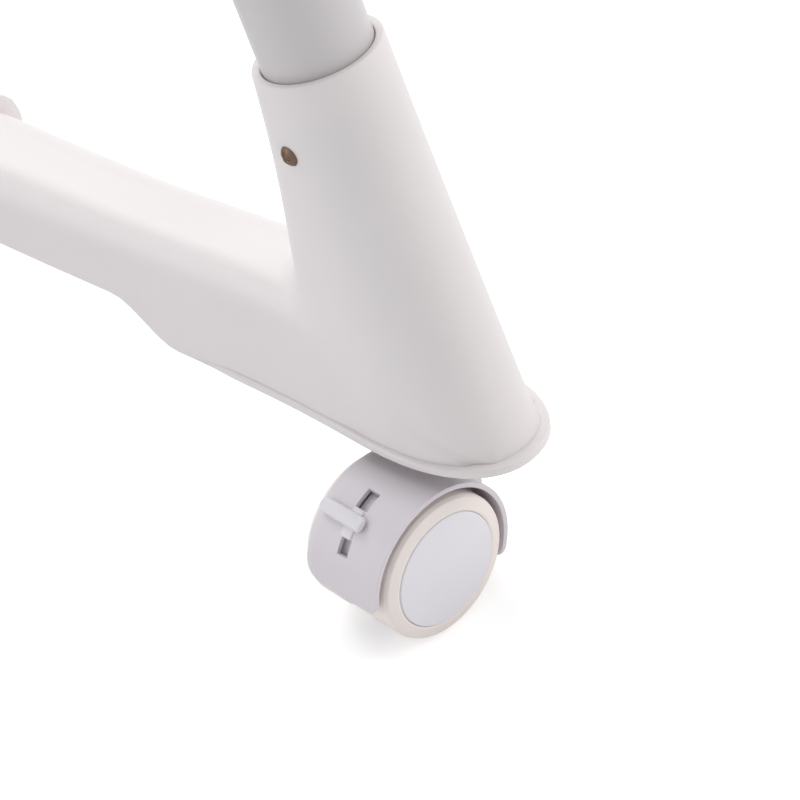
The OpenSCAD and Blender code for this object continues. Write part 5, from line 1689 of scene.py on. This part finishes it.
def draw_scale(ink, x, step, labels, size, wide):
    """Marks clockwise round a knob, from straight up. A mark without a number is a little shorter."""
    for i, label in enumerate(labels):
        a = -np.pi / 2 - math.radians(step * i)
        mark(ink, x, 0, a, SCALE_IN, SCALE_OUT if label else SCALE_OUT - 1, wide)
        if label:
            digits(ink, label, x + DIGITS_AT * math.cos(a), DIGITS_AT * math.sin(a), size)


def make_knob(name, x):
    """A skirted knob with a raised bar, and a line on the bar and the skirt that points at the scale."""
    place = panel_place.shifted(x=x)
    grip = rounded([[AXIS, 3.3], [15, 3.3], [15, 6.6], [12.4, 7.4], [11.6, 18.3], [AXIS, 18.3]],
                   [0, 0.5, 1.2, 0.8, 1.6, 0], steps=4)
    skin = turned_piece(Skin(), grip, place)
    bar = rounded([[-2, -11.5], [2, -11.5], [2, 11.5], [-2, 11.5]], 1.6, steps=4)
    slab(skin, bar, 7.0, 20.3, 0.8, place.out)
    turned_piece(skin, wall_profile(AXIS, 3, -13, 4, [0, 0.5, 0, 0], 2), place, 24)
    line = rounded([[-0.6, 3], [0.6, 3], [0.6, 11.2], [-0.6, 11.2]], 0.4, steps=3)
    slab(skin, line * [1, -1], 20.28, 20.36, 0.0, place.out, paint=1, steps=1)
    tip = np.array([[-0.6, 12.2], [0.6, 12.2], [0.5, 14.6], [-0.5, 14.6]])
    slab(skin, tip * [1, -1], 6.4, 7.3, 0.1, place.out, paint=1, steps=1)
    skin.make(name + "_grip", ["knob_plastic", "ink_light"], name, "knob_plastic", [name])


def make_panel():
    """The plate, the well behind the rocker, and the printing. Both pointers stand straight up when off."""
    plate = slab(Skin(), plate_loop(*PANEL_SIZE, 8), 0, PLATE, 0.7, panel_place.out, steps=4)
    cuts = [slab(Skin(), plate_loop(17, 25, 0.6), -20, 10, 0.0, panel_place.out, steps=1)]
    for x, y, radius in ((KNOB_AT, 0, 3.15), (-KNOB_AT, 0, 3.15), (0, LAMP_Y, 4.15)):
        cuts.append(rod(panel_place.shifted(x=x, y=y), radius, -20, 20, 32))
    plate.make("panel_plate", "panel_metal", "hood", "panel_metal", ["control_panel"], cuts=cuts)
    well = slab(Skin(), plate_loop(20, 28, 0.8), -14, -0.02, 0.2, panel_place.out, steps=2)
    well.make("rocker_well", "switch_plastic", "hood", "switch_plastic",
              cuts=[slab(Skin(), plate_loop(17, 25, 0.5), -12.5, 5, 0.0, panel_place.out, steps=1)])
    ink = Skin()
    minutes = [str(minute) if minute % 10 == 0 else "" for minute in range(0, 61, 5)]
    draw_scale(ink, KNOB_AT, 25, minutes, 4.2, 0.5)
    draw_scale(ink, -KNOB_AT, 90, "0123", 4.6, 0.6)
    ink.make("panel_printing", "ink_dark", "hood", "panel_metal")
    make_knob("timer_knob", KNOB_AT)
    make_knob("heat_knob", -KNOB_AT)


def make_rocker(half=11.7):
    """A key with a hollow top, 3.4 + 1.6 (v / half) ^ 2 high, on its axle, with a printed line and circle."""
    v = np.linspace(-half, half, 25)
    under = rounded([[half, 4.6], [half, -5], [-half, -5], [-half, 4.6]], [0, 2, 2, 0], steps=4)[1:-1]
    side = Place(panel_place.origin, z=(1, 0, 0), x=panel_place.axes[1])
    outline = np.concatenate([np.c_[v, 3.4 + 1.6 * (v / half) ** 2], under])
    skin = slab(Skin(), outline, -8.2, 8.2, 0.7, side.out, steps=4)
    lift = panel_place.shifted(z=4.2)
    line = rounded([[-0.5, 4.6], [0.5, 4.6], [0.5, 9.2], [-0.5, 9.2]], 0.3)
    slab(skin, line, -0.6, 0.15, 0.0, lift.out, 1, 1)
    turned_piece(skin, wall_profile(1.7, 2.5, -0.6, 0.15), lift.shifted(y=-7.0), 48, 1)
    axle = Place(panel_place.out(np.array([0, 0, -2.0])), z=(1, 0, 0), x=(0, 1, 0))
    turned_piece(skin, wall_profile(AXIS, 1.5, -9.5, 9.5), axle, 24)
    skin.make("rocker_key", ["rocker_plastic", "ink_light"], "power_rocker", "rocker_plastic",
              ["power_rocker"])


def make_lamp():
    """A lens whose dome is a quarter of an ellipse, turned."""
    dome = arc(1.0, 0, 90, 10) * [5.0, 3.1] + [0, PLATE + 0.6]
    lens = np.concatenate([[[AXIS, -4], [4, -4], [4, PLATE + 0.02], [5, PLATE + 0.02], [5, PLATE + 0.5]],
                           dome[:-1], [[AXIS, PLATE + 3.7]]])
    turned_piece(Skin(), lens, panel_place.shifted(y=LAMP_Y), 48).make(
        "pilot_lens", "lamp_plastic", "hood", "lamp_plastic", ["pilot_lamp"])


make_panel()
make_rocker()
make_lamp()

# %% [markdown]
# ## What stays as the frame draws it
# The blower, the heater and the two switch bodies sit inside the housing, and the mast's bush hides in the
# collar. They keep the frame's own shapes and only get their finish.

# %% Inner parts
INNER_FINISHES = {
    "tube_bush": "bush_plastic", "heater_frame": "mica", "heater_coil": "heater_wire",
    "blower_motor": "motor_steel", "impeller": "fan_plastic", "timer_unit": "switch_plastic",
    "heat_selector": "switch_plastic",
}
for label, finish in INNER_FINISHES.items():
    part = frame["nodes"][label]
    part.data.materials.clear()
    part.data.materials.append(MATERIALS[finish])
